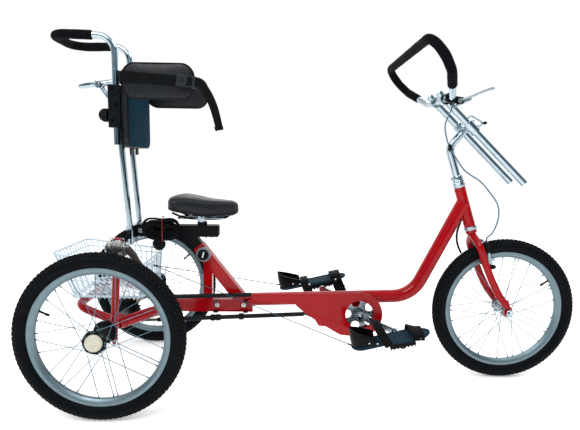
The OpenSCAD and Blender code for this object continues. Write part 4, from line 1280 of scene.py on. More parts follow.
@dataclass
class Saddle:
    """The saddle cover over its moulded base, with piping, rails and clamp."""

    long: float = 0.237
    wide: float = 0.190
    origin: np.ndarray = field(default_factory=lambda: from_rear(139, 0, 321))

    def half_width(self, t: np.ndarray) -> np.ndarray:
        """Half width at a share of the length: a round rear, full to a fifth, then drawn in to the nose."""
        rear = np.where(t < 0.12, np.sqrt(np.clip(1 - ((0.12 - t) / 0.12) ** 2, 0, 1)), 1.0)
        nose = np.sqrt(np.clip(1 - (np.clip(t - 0.9, 0, 1) / 0.1) ** 2, 0, 1))
        return self.wide / 2 * rear * (1 - 0.72 * (np.clip(t - 0.18, 0, 1) / 0.82) ** 0.9) * nose

    def cover(self) -> Shell:
        """The padded top: at each step along the length a closed section.

        Across the section the side goes out as a cosine to the power 0.55 and the height as a sine to the
        power 0.62, between a top line and a bottom line taken from the saddle's profile.
        """
        n, m = 46, 40
        t = 0.5 - 0.5 * np.cos(np.linspace(0.0, math.pi, n))
        t = 0.003 + 0.994 * t
        a = full_turn(m)
        w = self.half_width(t)
        top = np.interp(t, [0, 0.06, 0.21, 0.39, 0.59, 0.84, 0.95, 1.0], mm(60, 72, 78, 73, 62.5, 58, 55, 40))
        low = np.interp(t, [0, 0.25, 0.48, 0.70, 0.94, 1.0], mm(26, 12, 0.5, 0.5, 5, 16))
        top, low = smoothed(top, 2), smoothed(low, 2)
        c, s = np.cos(a), np.sin(a)
        side = np.sign(c) * np.abs(c) ** 0.55
        up = np.sign(s) * np.abs(s) ** np.where(s > 0, 0.72, 0.5)
        mid, half = (top + low) / 2, (top - low) / 2
        x = np.broadcast_to((t * self.long)[:, None], (n, m))
        y = w[:, None] * side[None] * np.where(s[None] < 0, 1.0 - 0.06 * np.abs(s[None]), 1.0)
        z = mid[:, None] + half[:, None] * up[None]
        groove = 0.0022 * np.exp(-((y / 0.011) ** 2))
        groove *= (np.clip((t - 0.08) * 8, 0, 1) * np.clip((0.86 - t) * 8, 0, 1))[:, None]
        z = z - np.where(s[None] > 0, groove, 0.0)
        points = np.stack([x, y, z], 2) + self.origin
        return lattice(points, size=(self.long, self.wide * 2.5))

    def build(self) -> None:
        """Makes the saddle."""
        # the vinyl's blue-grey cast is painted reflection
        cover = make("saddle_cover", self.cover(), VINYL, "frame", ("saddle",), sharp=80, subdivide=1)
        t = 0.5 - 0.5 * np.cos(np.linspace(0.06, math.pi - 0.05, 60))
        w = self.half_width(t) * 0.985
        z = np.interp(t, [0, 0.25, 0.48, 0.70, 0.94, 1.0], mm(36, 22, 11, 11, 15, 24))
        right = np.stack([t * self.long, -w, z], 1)
        left = right[::-1] * [1, -1, 1]
        loop = np.concatenate([right, left]) + self.origin
        piping = tube(evenly(spline(loop, 2, closed=True), 0.004), 0.0014, 8, closed=True)
        make("saddle_piping", piping, PIPING, "frame")
        dress("saddle_post", CHROME)
        parts, rods = [], []
        line = trail(158, 52, 338, 182, 34, 324, 215, 23, 316, 290, 22, 315, 328, 18, 318, 350, 12, 330)
        for side in (-1, 1):
            rods.append(tube(spline(AXLE + line * [1, side, 1], 8), 0.0036, 10))
            parts.append(bolt(from_rear(250, side * 25, 315), side * Y, 0.0078))
            parts.append(tablet(26, 22, 8, 5, 1).on(from_rear(250, side * 20, 315), side * Y))
        make("saddle_rails", join(*rods), BLACK, "frame")
        make("saddle_clamp", join(*parts), CHROME, "frame")


@dataclass
class FoamGrip:
    """A foam sleeve over a bent tube, a little uneven where it was pushed round the bends."""

    name: str
    node: str
    body: str
    corners: list[np.ndarray]
    bend: float
    radius: float

    def build(self) -> None:
        """Makes the sleeve with rounded ends."""
        path = evenly(fillet(self.corners, self.bend, 14), 0.0045)
        at, drop = soft_ends(path, 0.006, 7)
        wobble = 0.00022 * np.sin(at * 61.0) + 0.00016 * np.sin(at * 143.0 + 1.0)
        r = self.radius - 0.0003 - 0.0032 * drop + wobble
        shell = sweep(resample(path, at), circle(1.0, 28), r)
        piece = make(self.name, shell, FOAM, self.body, (self.node,), sharp=60)


# ---- frame


@dataclass
class FrameDress:
    """Finishes of the painted frame, and its welds, bolts and small fittings."""

    red: tuple[str, ...] = ("main_frame", "rear_rail", "rear_frame", "seat_mast", "chain_guard", "fork")

    def finishes(self) -> None:
        """Dresses the CAD nodes that stay in view."""
        for node in self.red:
            dress(node, RED)
        for node, finish in (
            ("seat_rail", BLACK), ("rear_axle", STEEL), ("front_axle", STEEL), ("rear_sprocket", BLACK), ("chain_sleeves", SLEEVE),
            ("headset", CHROME), ("stem", CHROME), ("handlebar", CHROME), ("push_handle", CHROME), ("crankset", ALLOY),
            ("parking_brake", ZINC), ("front_brake", ALLOY), ("brake_cable", CABLE),
        ):
            dress(node, finish)

    def welds(self) -> None:
        """Welded beads round the painted joints."""
        leg = 0.184
        rings = []
        for side in (-1, 1):
            start, end = from_rear(160, 0, 7), from_rear(12, side * leg * 1000, -2)
            ahead = unit(end - start)
            rings.append(weld(end - ahead * 0.022, ahead, 0.0183, 0.0017))
            post = unit(from_rear(33, side * 238, 226) - from_rear(16, side * 238, -34))
            rings.append(weld(from_rear(18.5, side * 238, 0) + post * 0.0168, post, 0.0113, 0.0015, 28))
        rings.append(weld(BRACKET + mm(0, 26, 0), Y, 0.0235, 0.0013))
        for z in (0.010, 0.134):
            rings.append(weld(RACE + AXIS_UP * z, AXIS_UP, 0.0192, 0.0011))
        make("frame_welds", join(*rings), RED, "frame")

    def bolts(self) -> None:
        """The rail's clamp bolts, seat rail bolts and bottom bracket cups."""
        parts = [bolt(np.array([x, side * 0.02, 0.262]), side * Y, 0.0052) for x in (-0.359, -0.266) for side in (-1, 1)]
        parts += [bolt(from_rear(x, side * 20, 271), side * Y, 0.0055) for x in (40, 70) for side in (-1, 1)]
        parts += [bolt(from_rear(x, 0, 251), -Z, 0.0050) for x in (262, 282)]
        for side in (-1, 1):
            out = side * Y
            parts.append(collar(36, 10.7, 0, 20.5, 0, 21.2, 2, 20, 4.2, 10.7, 4.2).on(BRACKET + out * 0.034, out))
            parts.append(bolt(from_rear(18, side * 238, -31), -Z, 0.0075))
        make("frame_bolts", join(*parts), ZINC, "frame")
        tip = turned(18, 0, 0, 6.2, 0, 6.6, 4, 5, 12, 0, 13)
        make("post_tips", join(*[tip.on(from_rear(17, y, -36), -Z) for y in (-238, 238)]), RED_RUBBER, "frame")
        plug = tablet(34, 34, 4, 4, 1.2)
        clip = collar(28, 7.7, -8, 10.6, -8, 11.2, -6, 11.2, 6, 10.6, 8, 7.7, 8)
        run = unit(mm(508, 0, 24.6))
        ends = [clip.on(from_rear(x, -46, -37) + Z * run[2] * (x - 100) / 1000, run) for x in (292, 310, 390)]
        ends += [plug.on(from_rear(307.5, 0, 271), X, Y), plug.on(from_rear(22.5, 0, 271), -X, Y)]
        make("seat_rail_plugs", join(*ends), PLASTIC, "frame")

    def knob(self) -> None:
        """The mast's hand wheel: a notched plated ring round a black face with a plain pale bar."""
        at, out = from_rear(259, -20, 193), -Y
        a = full_turn(240)
        edge = polar(0.0252 + 0.0012 * np.tanh(3 * np.cos(a * 24)), a)
        ring = plate(edge, 0.012, 0.0014).on(at + out * 0.017, out)
        neck = turned(24, 0, 0, 7, 0, 7, 12, 0, 12).on(at, out)
        make("mast_knob_ring", join(ring, neck), STEEL, "frame", ("mast_knob",))
        face = turned(40, 0, -1, 19, -1, 19, 1.2, 17.8, 2.2, 0, 2.2).on(at + out * 0.0228, out)
        make("mast_knob_face", face, PLASTIC, "frame")
        bar = tablet(4, 20.5, 1.2, 1, 0.3).on(at + out * 0.0252, out, np.array([0.97, 0.0, -0.25]))
        make("mast_knob_bar", bar, NYLON, "frame")

    def build(self) -> None:
        """Dresses the frame."""
        self.finishes()
        self.welds()
        self.bolts()
        self.knob()


@dataclass
class Basket:
    """The wire basket: rim rings, upright wires and a floor of expanded sheet."""

    def ring(self, share: float, inset: float, corner: float = 0.026) -> np.ndarray:
        """A loop of the basket's outline at a share of its height: straight between the floor's and rim's corners."""
        # millimetres from the rear axle, at the floor and then what the rim adds: the rear and front edges, half the
        # width, and the heights at the rear and at the front
        rear, front, half, rear_z, front_z = np.array([-158, 75, 125, 63, 63]) + share * np.array([-55, 4, 20, 149, 114])
        rear, front = rear + inset, front - inset
        loop = round_rect((front - rear) / 1000, (half - inset) / 500, corner, 7)
        x = loop[:, 0] + (REAR_X + (front + rear) / 2000)
        way = (x - (REAR_X + rear / 1000)) / ((front - rear) / 1000)
        return np.stack([x, loop[:, 1], WHEEL_R + (rear_z + (front_z - rear_z) * way) / 1000], 1)

    def wires(self) -> Shell:
        """Upright wires from under the floor to the rim, spaced about 19 mm round the outline."""
        top, mid, low = (self.ring(s, i) for s, i in ((0.985, 1.5), (0.5, 1.5), (0.0, 2.0)))
        rings = []
        for loop in (top, mid, low):
            closed = np.concatenate([loop, loop[:1]])
            s = arc_length(closed)
            # the same share of each side, so that the wires stand upright
            rings.append(resample(closed, np.linspace(0, s[-1], 54, endpoint=False)))
        centre = np.array([REAR_X - 0.045, 0.0, WHEEL_R + 0.0625])
        foot = rings[2] + (centre - rings[2]) * 0.10
        foot[:, 2] = WHEEL_R + 0.0645
        lines = np.stack([foot, rings[2], rings[1], rings[0]], 1)
        return join(*[tube(evenly(spline(line, 4), 0.012), 0.0018, 6) for line in lines])

    def floor(self) -> Shell:
        """Expanded sheet: zigzag strands side by side, each touching the next at its corners.

        A strand's y is its row's middle plus or minus half a diamond, in turn at each half pitch along X.
        """
        rows, steps = 17, 22
        x = np.linspace(-0.817, -0.590, steps)
        half = 0.118
        pitch = 2 * half / rows
        swing = np.where(np.arange(steps) % 2 == 0, 0.5, -0.5) * (pitch - 0.0008)
        parts = []
        outline = np.array([[-0.0016, -0.0008], [0.0016, -0.0008], [0.0016, 0.0008], [-0.0016, 0.0008]])
        for row in range(rows):
            y = -half + pitch * (row + 0.5) + (-1) ** row * swing
            path = np.stack([x, y, np.full(steps, WHEEL_R + 0.0672)], 1)
            parts.append(sweep(path, outline, up=Z))
        edge = round_rect(0.229, 0.240, 0.010, 4)
        loop = np.stack([edge[:, 0] - 0.7035, edge[:, 1], np.full(len(edge), WHEEL_R + 0.0672)], 1)
        parts.append(sweep(loop, outline * [2.4, 1.2], closed=True, up=Z))
        return join(*parts)

    def build(self) -> None:
        """Makes the basket."""
        rings = ((1, 1, 0.026, 0.0034, 10), (0.84, 0.4, 0.026, 0.0021, 8), (0.42, 0.4, 0.026, 0.0019, 8),
                 (0.02, 0.4, 0.018, 0.0026, 8))
        hoops = [tube(self.ring(share, inset, corner), r, n, closed=True) for share, inset, corner, r, n in rings]
        make("basket_wires", join(*hoops, self.wires()), WHITE, "frame", ("basket",))
        make("basket_floor", self.floor(), WHITE, "frame", sharp=30)
        line = trail(-124, 70, 60, -112, 70, 63, -90, 70, 66, -60, 70, 66)
        hooks = [tube(spline(AXLE + line * [1, side, 1], 6), 0.0032, 10) for side in (-1, 1)]
        make("basket_stays", join(*hooks), ZINC, "frame")


# ---- drive


@dataclass
class Drive:
    """Roller chain, sprocket teeth and crank bolts."""

    pitch: float = 0.0127
    ring_r: float = 0.073
    cog_r: float = 0.042
    line_y: float = -0.046

    def chain_line(self) -> np.ndarray:
        """The chain's loop: an arc round the sprocket, the upper run, an arc round the ring, and the lower run."""
        cog = np.array([REAR_X, WHEEL_R])
        ring = np.array([BRACKET[0], BRACKET[2]])
        guide = np.array([REAR_X + 0.615, WHEEL_R - 0.011])
        gap = np.linalg.norm(ring - cog)
        slope = math.atan2(*(ring - cog)[::-1])
        up = slope + math.asin((self.ring_r - self.cog_r) / gap) + math.pi / 2
        cog_down = math.atan2(*(guide - cog)[::-1]) - math.acos(self.cog_r / np.linalg.norm(guide - cog))
        ring_down = math.atan2(*(guide - ring)[::-1]) + math.acos(self.ring_r / np.linalg.norm(ring - guide))
        a = np.linspace(cog_down + 2 * math.pi, up, 40)
        b = np.linspace(up, ring_down - (2 * math.pi if ring_down > up else 0), 50)
        rear, front = cog + polar(self.cog_r, a), ring + polar(self.ring_r, b)
        loop = np.concatenate([rear, front, guide[None], rear[:1]])
        return np.stack([loop[:, 0], np.full(len(loop), self.line_y), loop[:, 1]], 1)

    def links(self) -> Shell:
        """Outer and inner plates in turn, with a roller at each joint, spaced one pitch along the loop."""
        loop = self.chain_line()
        long = arc_length(loop)[-1]
        count = int(round(long / self.pitch / 2)) * 2
        joints = resample(loop, np.linspace(0, long, count, endpoint=False))
        ahead = np.roll(joints, -1, 0) - joints
        centre = joints + ahead / 2
        step = float(np.linalg.norm(ahead, axis=1).mean())
        a = np.linspace(-math.pi / 2, math.pi / 2, 5)
        end = polar(0.0042, a) + [step / 2, 0]
        outline = np.concatenate([end, -end])
        outline[[4, 9], 1] *= 0.92
        m = np.stack([placed(c, Y, d) for c, d in zip(centre, ahead)])
        pairs = []
        for first, offset in ((0, 0.0029), (1, 0.0020)):
            one = join(*[plate(outline, 0.0009, 0.00015).on(s * offset * Z, Z, X) for s in (-1, 1)])
            pairs.append(repeat(one, m[first::2]))
        pin = turned(8, 0, -3.6, 1.9, -3.6, 1.9, 3.6, 0, 3.6)
        spots = np.stack([placed(j, Y) for j in joints])
        return join(*pairs, repeat(pin, spots))

    def teeth(self, centre: np.ndarray, pitch_r: float, count: int, root: float) -> Shell:
        """A toothed ring: its radius rises and falls once a tooth, between root and tip."""
        a = full_turn(count * 8)
        wave = np.clip(0.5 + 0.9 * np.cos(a * count), 0, 1)
        r = pitch_r - 0.0035 + 0.0060 * wave
        outer, inner = polar(r, a), polar(root, a)
        rows = [(inner, -0.00135), (outer, -0.0009), (outer, 0.0009), (inner, 0.00135)]
        points = np.stack([np.c_[o, np.full(len(o), z)] for o, z in rows])
        return lattice(points, wrap_rows=True, capped=False).on(centre, Y)

    def build(self) -> None:
        """Makes the drive."""
        make("chain_links", self.links(), CHAIN, "frame", ("chain",), sharp=30)
        ring = self.teeth(BRACKET + [0, self.line_y, 0], self.ring_r, 36, 0.0672)
        make("chainring_teeth", ring, STEEL, "crank", sharp=30)
        cog = self.teeth(AXLE + [0, self.line_y, 0], self.cog_r, 21, 0.0360)
        make("sprocket_teeth", cog, BLACK, "rear_sprocket", sharp=30)
        caps = []
        for side in (-1, 1):
            out = side * Y
            caps.append(turned(28, 0, 0, 9.5, 0, 10, 1, 9.5, 2.6, 6, 3.6, 0, 3.6).on(BRACKET + out * 0.078, out))
            pin = PIN_RIGHT if side < 0 else PIN_LEFT
            caps.append(collar(6, 6.1, 0, 9.2, 0, 9.6, 1, 9.6, 4, 6.1, 5).on(pin * [1, 0, 1] + out * 0.0781, out))
        make("crank_caps", join(*caps), CHROME, "crank")


@dataclass
class FootPlate:
    """A moulded foot plate on its pedal: sole, heel cup, two hook tape straps and rivets.

    Attributes:
        side: right or left, as in the CAD node's name.
        body: the pedal's body.
        pin: the pedal pin's middle.
        fastened: whether the straps are closed over the foot, or hang open.
    """

    side: str
    body: str
    pin: np.ndarray
    fastened: bool
    tilt: float = math.radians(12)

    def spot(self) -> np.ndarray:
        """The matrix from the plate's own axes, toe along +X, to the row frame."""
        m = np.eye(4)
        c, s = math.cos(self.tilt), math.sin(self.tilt)
        m[:3, 0], m[:3, 2], m[:3, 3] = (c, 0, s), (-s, 0, c), self.pin
        return m

    def sole(self) -> Shell:
        """The sole: an outline wide at the ball and heel and narrow at the waist, with a raised rim.

        Half the width at a share t of the length follows a smooth row of widths, and both ends are round.
        """
        t = 0.5 - 0.5 * np.cos(np.linspace(0, math.pi, 40))
        w = np.interp(t, [0.0, 0.15, 0.34, 0.5, 0.68, 0.82, 1.0], [0.040, 0.0435, 0.039, 0.0385, 0.046, 0.0455, 0.031])
        w = smoothed(w)
        ends = np.sqrt(np.clip(1 - (1 - np.clip(np.minimum(t / 0.13, (1 - t) / 0.15), 0, 1)) ** 2, 0, 1))
        w = np.maximum(w * ends, 0.0008)
        x = -0.1605 + 0.260 * t
        outline = np.concatenate([np.c_[x, -w], np.c_[x, w][::-1]])
        base = plate(outline, 0.0062, 0.0016).on(mm(0, 0, 13.4), Z, X)
        lip = np.c_[outline * [0.985, 0.965], np.full(len(outline), 0.0172)]
        rim = tube(lip, 0.0019, 8, closed=True)
        ribs = [tablet(3.5, 62, 1.5, 1.8, 0.5).on(mm(x0, 0, 17.0), Z, X) for x0 in range(-56, 84, 14)]
        return join(base, rim, *ribs)

    def heel(self) -> Shell:
        """The heel cup: a wall bent round the heel, high behind and lower at its two free ends.

        Round the bend the wall's line is a half circle with straight sides, and its height falls with the
        square of the share of the way to an end.
        """
        a = np.linspace(-1, 1, 44)
        r = 0.040  # and the straight run at either side is as long
        arc = math.pi / 2 * r
        s = a * (arc + r)
        inside = np.abs(s) <= arc
        phi = np.where(inside, s / r, np.sign(s) * math.pi / 2)
        x = -0.1180 - r * np.cos(phi) + np.where(inside, 0, np.abs(s) - arc)
        y = r * np.sin(phi)
        tall = 0.066 - 0.040 * np.abs(a) ** 1.2
        nx, ny = -np.cos(phi), np.sin(phi)
        rows = []
        shares = (0.0, 0.3, 0.6, 0.85, 0.97, 1.0)
        for off, climb in ((0.0, shares), (-0.0042, shares[::-1])):
            for share in climb:
                lean = off + 0.0020 * math.sin(share * math.pi) - (0.0009 if share in (0.0, 1.0) else 0.0)
                z = 0.0125 + tall * share + (0.0012 if share == 1.0 else 0.0)
                rows.append(np.stack([x + nx * lean, y + ny * lean, z], 1))
        return lattice(np.stack(rows, 1), size=(0.22, 0.14))

    def arch(self, x: float, lean: float, rise: float, half: float, base: float = 0.012) -> np.ndarray:
        """A strap's line over the foot: up one side, over and down the other, leaning back as it rises."""
        t = np.linspace(0, math.pi, 40)
        y = -half * np.cos(t)
        up = rise * np.sin(t) ** 0.62
        return np.stack([x - lean * up / rise, y, base + up], 1)

    def straps(self) -> Shell:
        """Both straps, and their doubled ends."""
        parts = []
        if self.fastened:
            for x, lean, rise, half, wide in ((-0.045, 0.028, 0.068, 0.0465, 0.027), (0.049, -0.004, 0.023, 0.0485, 0.040)):
                line = evenly(self.arch(x, lean, rise, half), 0.004)
                mid = line.mean(0) * [1, 0, 1]
                out = unit(line - mid - [0, 0, -0.01])
                out[:, 0] = 0.25
                parts.append(strap(line, wide, 0.0024, unit(out)))
                over = evenly(self.arch(x + 0.002, lean, rise + 0.0034, half + 0.003)[: 22], 0.004)
                outer = unit(over - mid - [0, 0, -0.01])
                parts.append(strap(over, wide - 0.004, 0.0022, unit(outer)))
        else:
            for x, wide, fall in ((-0.062, 0.028, 0.066), (0.058, 0.040, 0.060)):
                for sign in (-1, 1):
                    drop = trail(-2, 30, 18.5, 0, 44, 20, 2, 51, 12, 6, 52, -10, 12, 50, -10, 20, 49, 6)
                    drop = drop * [1, sign, 1] + [x, 0, 0] - Z * fall * np.array([[0, 0, 0, 0, 0.45, 1]]).T
                    line = evenly(spline(drop, 8), 0.004)
                    t = np.linspace(0, 1, len(line))[:, None]
                    out = unit(Z * np.clip(1 - 4 * t, 0, 1) + np.array([0.12, sign, 0.0]) * np.clip(4 * t, 0, 1))
                    parts.append(strap(line, wide, 0.0024, out))
                bump = evenly(self.arch(x, 0.0, 0.020, 0.040, 0.017), 0.004)
                out = unit(bump - bump.mean(0) * [1, 0, 1])
                parts.append(strap(bump, wide, 0.0024, out))
        return join(*parts)

    def pedal(self) -> Shell:
        """The pedal under the plate: a barrel and two toothed cage plates, drawn solid and black so that they also
        stand for the painted shade in the cage's open window under the foot plate.
        """
        barrel = collar(28, 6.2, -38, 11, -38, 12.5, -35, 10.5, -20, 10, 0, 10.5, 20, 12.5, 35, 11, 38, 6.2, 38)
        barrel = barrel.on(np.zeros(3), Y)
        t = np.linspace(-0.040, 0.040, 15)
        teeth = np.c_[t, np.where(np.arange(15) % 2 == 0, -0.0100, -0.0045)]
        # painted shade: the cage plate is solid black where the real cage is open and lies in shade under the foot
        # plate
        cage = np.concatenate([teeth, [[0.043, 0.002], [0.040, 0.0105], [-0.040, 0.0105], [-0.043, 0.002]]])
        sides = [plate(cage, 0.0035, 0.0006).on(s * 0.0365 * Y, -Y, X) for s in (-1, 1)]
        bridges = [tablet(10, 72, 3, 8, 1.2).on(np.array([x, 0.0, 0.003]), Z, X) for x in (-0.036, 0.036)]
        return join(barrel, *sides, *bridges)

    def rivets(self) -> Shell:
        """White rivets that hold the straps and the cup."""
        spots = trail(-105, 40.2, 30, -80, 40.2, 24, -45, 47.8, 17.5, 56, 50, 17.5, 4, 39.2, 14)
        sides = (-1, 1)
        return join(*[bolt(at * [1, s, 1], s * Y, 0.0034, Head.DOME, False) for s in sides for at in spots])

    def build(self) -> None:
        """Makes the foot plate."""
        m = self.spot()
        make(f"sole_{self.side}", self.sole().placed(m), SLATE, self.body, (f"foot_plate_{self.side}",))
        make(f"heel_cup_{self.side}", self.heel().placed(m), PLASTIC, self.body, sharp=60)
        make(f"foot_straps_{self.side}", self.straps().placed(m), TAPE, self.body)
        make(f"pedal_{self.side}", self.pedal().placed(m), PLASTIC, self.body, sharp=30)
        make(f"rivets_{self.side}", self.rivets().placed(m), NYLON, self.body)


# ---- handles and brakes


@dataclass
class Steering:
    """Handlebar foam, brake lever, stem hardware, head races and front brake details."""

    def lever(self) -> None:
        """The brake lever: a clamp band, its bracket, an alloy blade with a kink, and the cable's barrel."""
        pivot = BAR_LOW + mm(0, -100, 0)
        band = collar(36, 11.2, -9, 15.5, -9, 16.5, -7.5, 16.5, 7.5, 15.5, 9, 11.2, 9)
        body = tablet(36, 22, 6, 14, 2)
        parts = [band.on(pivot, Y), body.on(pivot + mm(25, -4, -8), Y, np.array([0.95, 0.0, -0.1]))]
        make("lever_bracket", join(*parts), PLASTIC, "steering", ("brake_lever",))
        line = spline(pivot + trail(30, -6, -9, 44, -12, -5, 63, -20, 3, 88, -27, 14, 108, -32, 22, 126, -35, 27), 8)
        outline = 0.0066 * np.array(
            [[-1.0, 0], [-0.8, -0.5], [0, -0.62], [0.8, -0.5], [1.0, 0], [0.8, 0.5], [0, 0.62], [-0.8, 0.5]])
        t = np.linspace(0, 1, len(line))
        scale = 1.0 - 0.22 * np.sin(t * math.pi) + 0.08 * t
        scale[-2:] *= (0.8, 0.45)
        barrel = trail(415, -100, 952, 440, -105, 963.5, 465, -110, 975)
        parts = [
            sweep(line, outline, scale, up=np.array([-0.3, 0.3, 1.0])),
            bolt(pivot + mm(30, -11.5, -9), -Y, 0.0048, Head.SOCKET),
            bolt(pivot + mm(-16, 0, 0), -X, 0.0040, Head.SOCKET, False),
            tube(evenly(barrel, 0.002), 0.0044, 14, soft=0.0015),
        ]
        make("lever_blade", join(*parts), ALLOY, "steering")

    def hardware(self) -> None:
        """Bolts, bands and caps of the stem, with flat black hexagons on the caps' ends as painted shade in their
        sockets.
        """
        ahead = unit(RACE + [0.155, 0, 0.155] - BAR_LOW)
        up = np.array([-ahead[2], 0.0, ahead[0]])
        parts = []
        stem_top = RACE + mm(-31, 0, 341)
        grip = BAR_LOW + ((stem_top - BAR_LOW) @ ahead) * ahead
        socket_shade_discs = []
        for side in (-1, 1):
            at = BAR_LOW + mm(0, side * 50, 0)
            parts.append(turned(28, 0, 29.8, 11.8, 29.8, 12.6, 31, 11.8, 32.5, 0, 32.5).on(at, -ahead))
            # painted shade: a flat black hexagon on the cap's end stands for the shade inside its hex socket
            socket_shade_discs.append(turned(6, 0, 32, 5.8, 32, 5.8, 32.8, 0, 32.8).on(at, -ahead))
            for dy in (-8, 8):
                parts.append(bolt(at + mm(0, dy, 0) + up * 0.0158 - ahead * 0.004, up, 0.0044, Head.SOCKET))
            band = collar(40, 16.6, -13, 18.2, -13, 18.8, -11, 18.8, 11, 18.2, 13, 16.6, 13)
            parts.append(band.on(at, Y))
            parts.append(tablet(22, 26, 5, 9, 1.4).on(at + up * 0.017 - ahead * 0.002, up, ahead))
            for da in (-0.012, 0.012):
                parts.append(bolt(grip + mm(0, side * 50, 0) + ahead * da + up * 0.0172, up, 0.0040, Head.SOCKET))
            end = RACE + [0.155, 0, 0.155] + mm(0, side * 50, 0)
            parts.append(collar(36, 10.4, -3, 12.6, -3, 12.9, -1, 12.6, 0.6, 10.4, 0.6).on(end, ahead))
        quill = RACE + 0.176 * AXIS_UP
        parts.append(collar(40, 13.8, -12, 18.5, -12, 19.2, -9, 19.2, 4, 16.5, 9, 13.8, 10).on(quill, AXIS_UP))
        parts.append(bolt(quill - mm(18, 0, 0) - AXIS_UP * 0.004, -X, 0.0048, washer=False))
        for name, body, z, r in (("crown_race", "steering", -11.5, 22.5), ("head_race_upper", "frame", 145, 21.5)):
            ring = collar(44, 15, 0, r, 0, r + 1.2, 2, r + 1.2, 5.5, r - 1, 7.5, 15, 7.5)
            make(name, ring.on(RACE + AXIS_UP * z / 1000, AXIS_UP), CHROME, body)
        lock = collar(8, 15.2, 0, 19.8, 0, 20.5, 1.5, 20.5, 6.5, 19.5, 8, 15.2, 8)
        parts.append(lock.on(RACE + AXIS_UP * 0.1585, AXIS_UP))
        make("stem_hardware", join(*parts), CHROME, "steering")
        tab = tablet(10, 24, 3, 6, 1).on(np.array([0.437, -0.018, 0.822]), Y, np.array([0.97, 0.0, 0.25]))
        make("stem_tab_and_socket_shade", join(tab, *socket_shade_discs), PLASTIC, "steering")
        tip = turned(18, 0, 0, 4.6, 0, 5.2, 2, 5, 8, 3, 12, 0, 12.5)
        make("lever_loop_tip", tip.on(RACE + mm(26, 0, 357), np.array([0.9, 0.0, 0.1])), PLASTIC, "steering")

    def strap(self) -> None:
        """The thin black strap that hangs in a bow from the head tube's foot towards the fork."""
        line = spline(trail(507, 8, 594, 497, 10, 562, 489, 12, 530, 489, 14, 503, 496, 16, 476, 509, 18, 450), 8)
        make("head_strap", strap(line, 0.0085, 0.0022, np.array([0.4, -1.0, 0.1])), TAPE, "frame")

    def front_brake(self) -> None:
        """Brake pads, arm bolts and springs at the fork."""
        base = -(WHEEL_R + 0.072) * 1000 + 209 - 36
        pads, bolts = [], []
        for side in (-1, 1):
            pads += [
                tablet(14, 40, 5, 12, 3).on(on_head(22, side * 51, base + 74), Y, AXIS_OUT),
                tablet(18, 14, 5, 12, 3).on(on_head(24, side * 51, base + 2), Y, AXIS_OUT),
                tablet(52, 10, 4, 9.5, 2).on(on_head(21, side * 20, base + 18.5), Y, AXIS_OUT),
            ]
            out = side * Y
            line = [on_head(x, side * y, base + z) for x, y, z in ((12, 50, 4), (14, 55, 20), (17, 55, 48), (20, 50, 62))]
            bolts += [
                bolt(np.array([FRONT_X, side * 0.0612, WHEEL_R]), out, 0.0078),
                bolt(on_head(27.2, side * 46, base), AXIS_OUT, 0.0052),
                bolt(on_head(23, side * 47, base + 92), out, 0.0044, Head.SOCKET),
                bolt(on_head(22, side * 47, base + 19), out, 0.0046),
                tube(spline(np.array(line), 8), 0.0010, 6),
            ]
        make("brake_pads_front", join(*pads), PLASTIC, "steering")
        make("brake_bolts_front", join(*bolts), CHROME, "steering")
        ends = np.array([on_head(24, y, base + 92) for y in (10, -22)])
        make("brake_noodle_boot", tube(evenly(ends, 0.002), 0.0044, 12, soft=0.003), PLASTIC, "steering")

    def build(self) -> None:
        """Makes the steering details."""
        spots = ((125, 0), (245, 0.076), (272, 0.1216), (272, 0.190))
        side = np.array([BAR_LOW + mm(0, -y, 0) + up * BAR_UP for y, up in spots])
        side[0] += 0.064 * unit(side[1] - side[0])
        loop = [*side, *(side[::-1] * [1, -1, 1])]
        FoamGrip("handlebar_sleeve", "handlebar_foam", "steering", loop, 0.045, 0.015).build()
        self.lever()
        self.strap()
        self.hardware()
        self.front_brake()


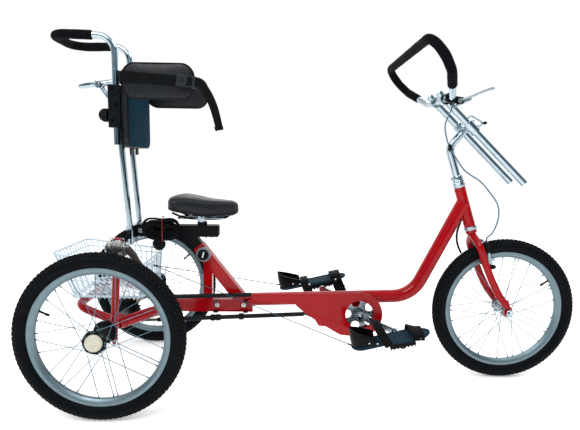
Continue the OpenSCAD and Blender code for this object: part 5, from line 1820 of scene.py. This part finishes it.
@dataclass
class Rear:
    """Push handle foam, its pin buttons, and the parking brake's details."""

    def build(self) -> None:
        """Makes the rear fittings."""
        y = 76.0
        top, end = from_rear(-11, -y, 904), from_rear(-208, -y - 20, 904)
        arm = np.array([top + 0.067 * unit(end - top), end])
        FoamGrip("push_sleeve", "push_grip", "frame", [*arm, *(arm[::-1] * [1, -1, 1])], 0.052, 0.015).build()
        buttons = []
        for side in (-1, 1):
            for z in (800, 830):
                buttons.append(bolt(from_rear(-11, side * (y + 10.8), z), side * Y, 0.0026, Head.DOME, False))
            out = np.array([0.0, side, -0.3])
            buttons.append(bolt(from_rear(-30, side * (y + 10), 893), out, 0.0022, Head.DOME, False))
        make("height_buttons", join(*buttons), STEEL, "frame")
        post = np.array([REAR_X + 0.034, -0.238, WHEEL_R + 0.248])
        parts = [tablet(50, 56, 10, 3, 0.6).on(post + mm(0, dy, 0), -Y, np.array([0.95, 0.0, 0.3])) for dy in (-16, 16)]
        for dx, dz, r, kind in (
            (-14, 14, 0.0062, Head.HEX), (14, -14, 0.0058, Head.HEX),
            (12, 16, 0.0045, Head.SOCKET), (-14, -15, 0.0042, Head.SOCKET),
        ):
            parts.append(bolt(post + mm(dx, -17.4, dz), -Y, r, kind))
        coil = np.c_[polar(0.006, np.linspace(0, 9 * 2 * math.pi, 160)), np.linspace(0, 0.026, 160)]
        m = placed(post + mm(-24, -8, 16), np.array([0.6, 0.0, 0.8]))
        parts.append(tube(coil @ m[:3, :3].T + m[:3, 3], 0.0010, 6))
        make("parking_brake_plates", join(*parts), ZINC, "frame")
        grip_from, grip_to = from_rear(63, -238, 254), from_rear(101, -238, 195)
        knee = grip_from * 0.55 + grip_to * 0.45 + mm(2.2, 0, 1.5)
        grip = evenly(spline(np.array([grip_from, knee, grip_to]), 10), 0.002)
        make("parking_brake_grip", tube(grip, 0.0106, 20, soft=0.006), GRIP, "frame")
        cap = turned(18, 0, 0, 6.2, 0, 6.8, 2, 6.6, 11, 4, 14, 0, 14.5)
        caps = [cap.on(post + mm(dx, -4, dz), np.array([0.2, 0.0, 1.0])) for dx, dz in ((8, 21), (-2, 23))]
        make("parking_brake_caps", join(*caps), RED_RUBBER, "frame")
        bend = spline(post + trail(-20, -18, -18, -31, -18, -16, -37, -18, -4, -31, -18, 4), 8)
        hook = tube(bend, 0.0030, 10, soft=0.002)
        clamp = collar(32, 11.2, -12, 15, -12, 15.6, -9, 15.6, 9, 15, 12, 11.2, 12)
        lean = unit(from_rear(33, -238, 226) - from_rear(16, -238, -34))
        make("parking_brake_clamp", join(hook, clamp.on(from_rear(31.5, -238, 208), lean)), PLASTIC, "frame")


def main() -> None:
    """Builds the studio and the cord, then every sub-assembly in turn."""
    logging.basicConfig(level=logging.INFO, format="%(name)s: %(message)s")
    Studio().build()
    CordHank().build()
    LevellingCords().build()
    FrameDress().build()
    for name, body, x, y, flange, gap, cap, valve in (
        ("rear_right", "wheel_rear_right", REAR_X, -HALF_TRACK, 0.035, 0.082, -1, 156.0),
        ("rear_left", "wheel_rear_left", REAR_X, HALF_TRACK, 0.035, 0.082, 1, 40.0),
        ("front", "wheel_front", FRONT_X, 0.0, 0.022, 0.062, 0, 33.0),
    ):
        Wheel(name, body, x, y, flange, gap, cap, valve).build()
    BackSupport().build()
    Saddle().build()
    Basket().build()
    Drive().build()
    FootPlate("right", "pedal_right", PIN_RIGHT, True).build()
    FootPlate("left", "pedal_left", PIN_LEFT, False).build()
    Steering().build()
    Rear().build()


if __name__ == "__main__":
    main()
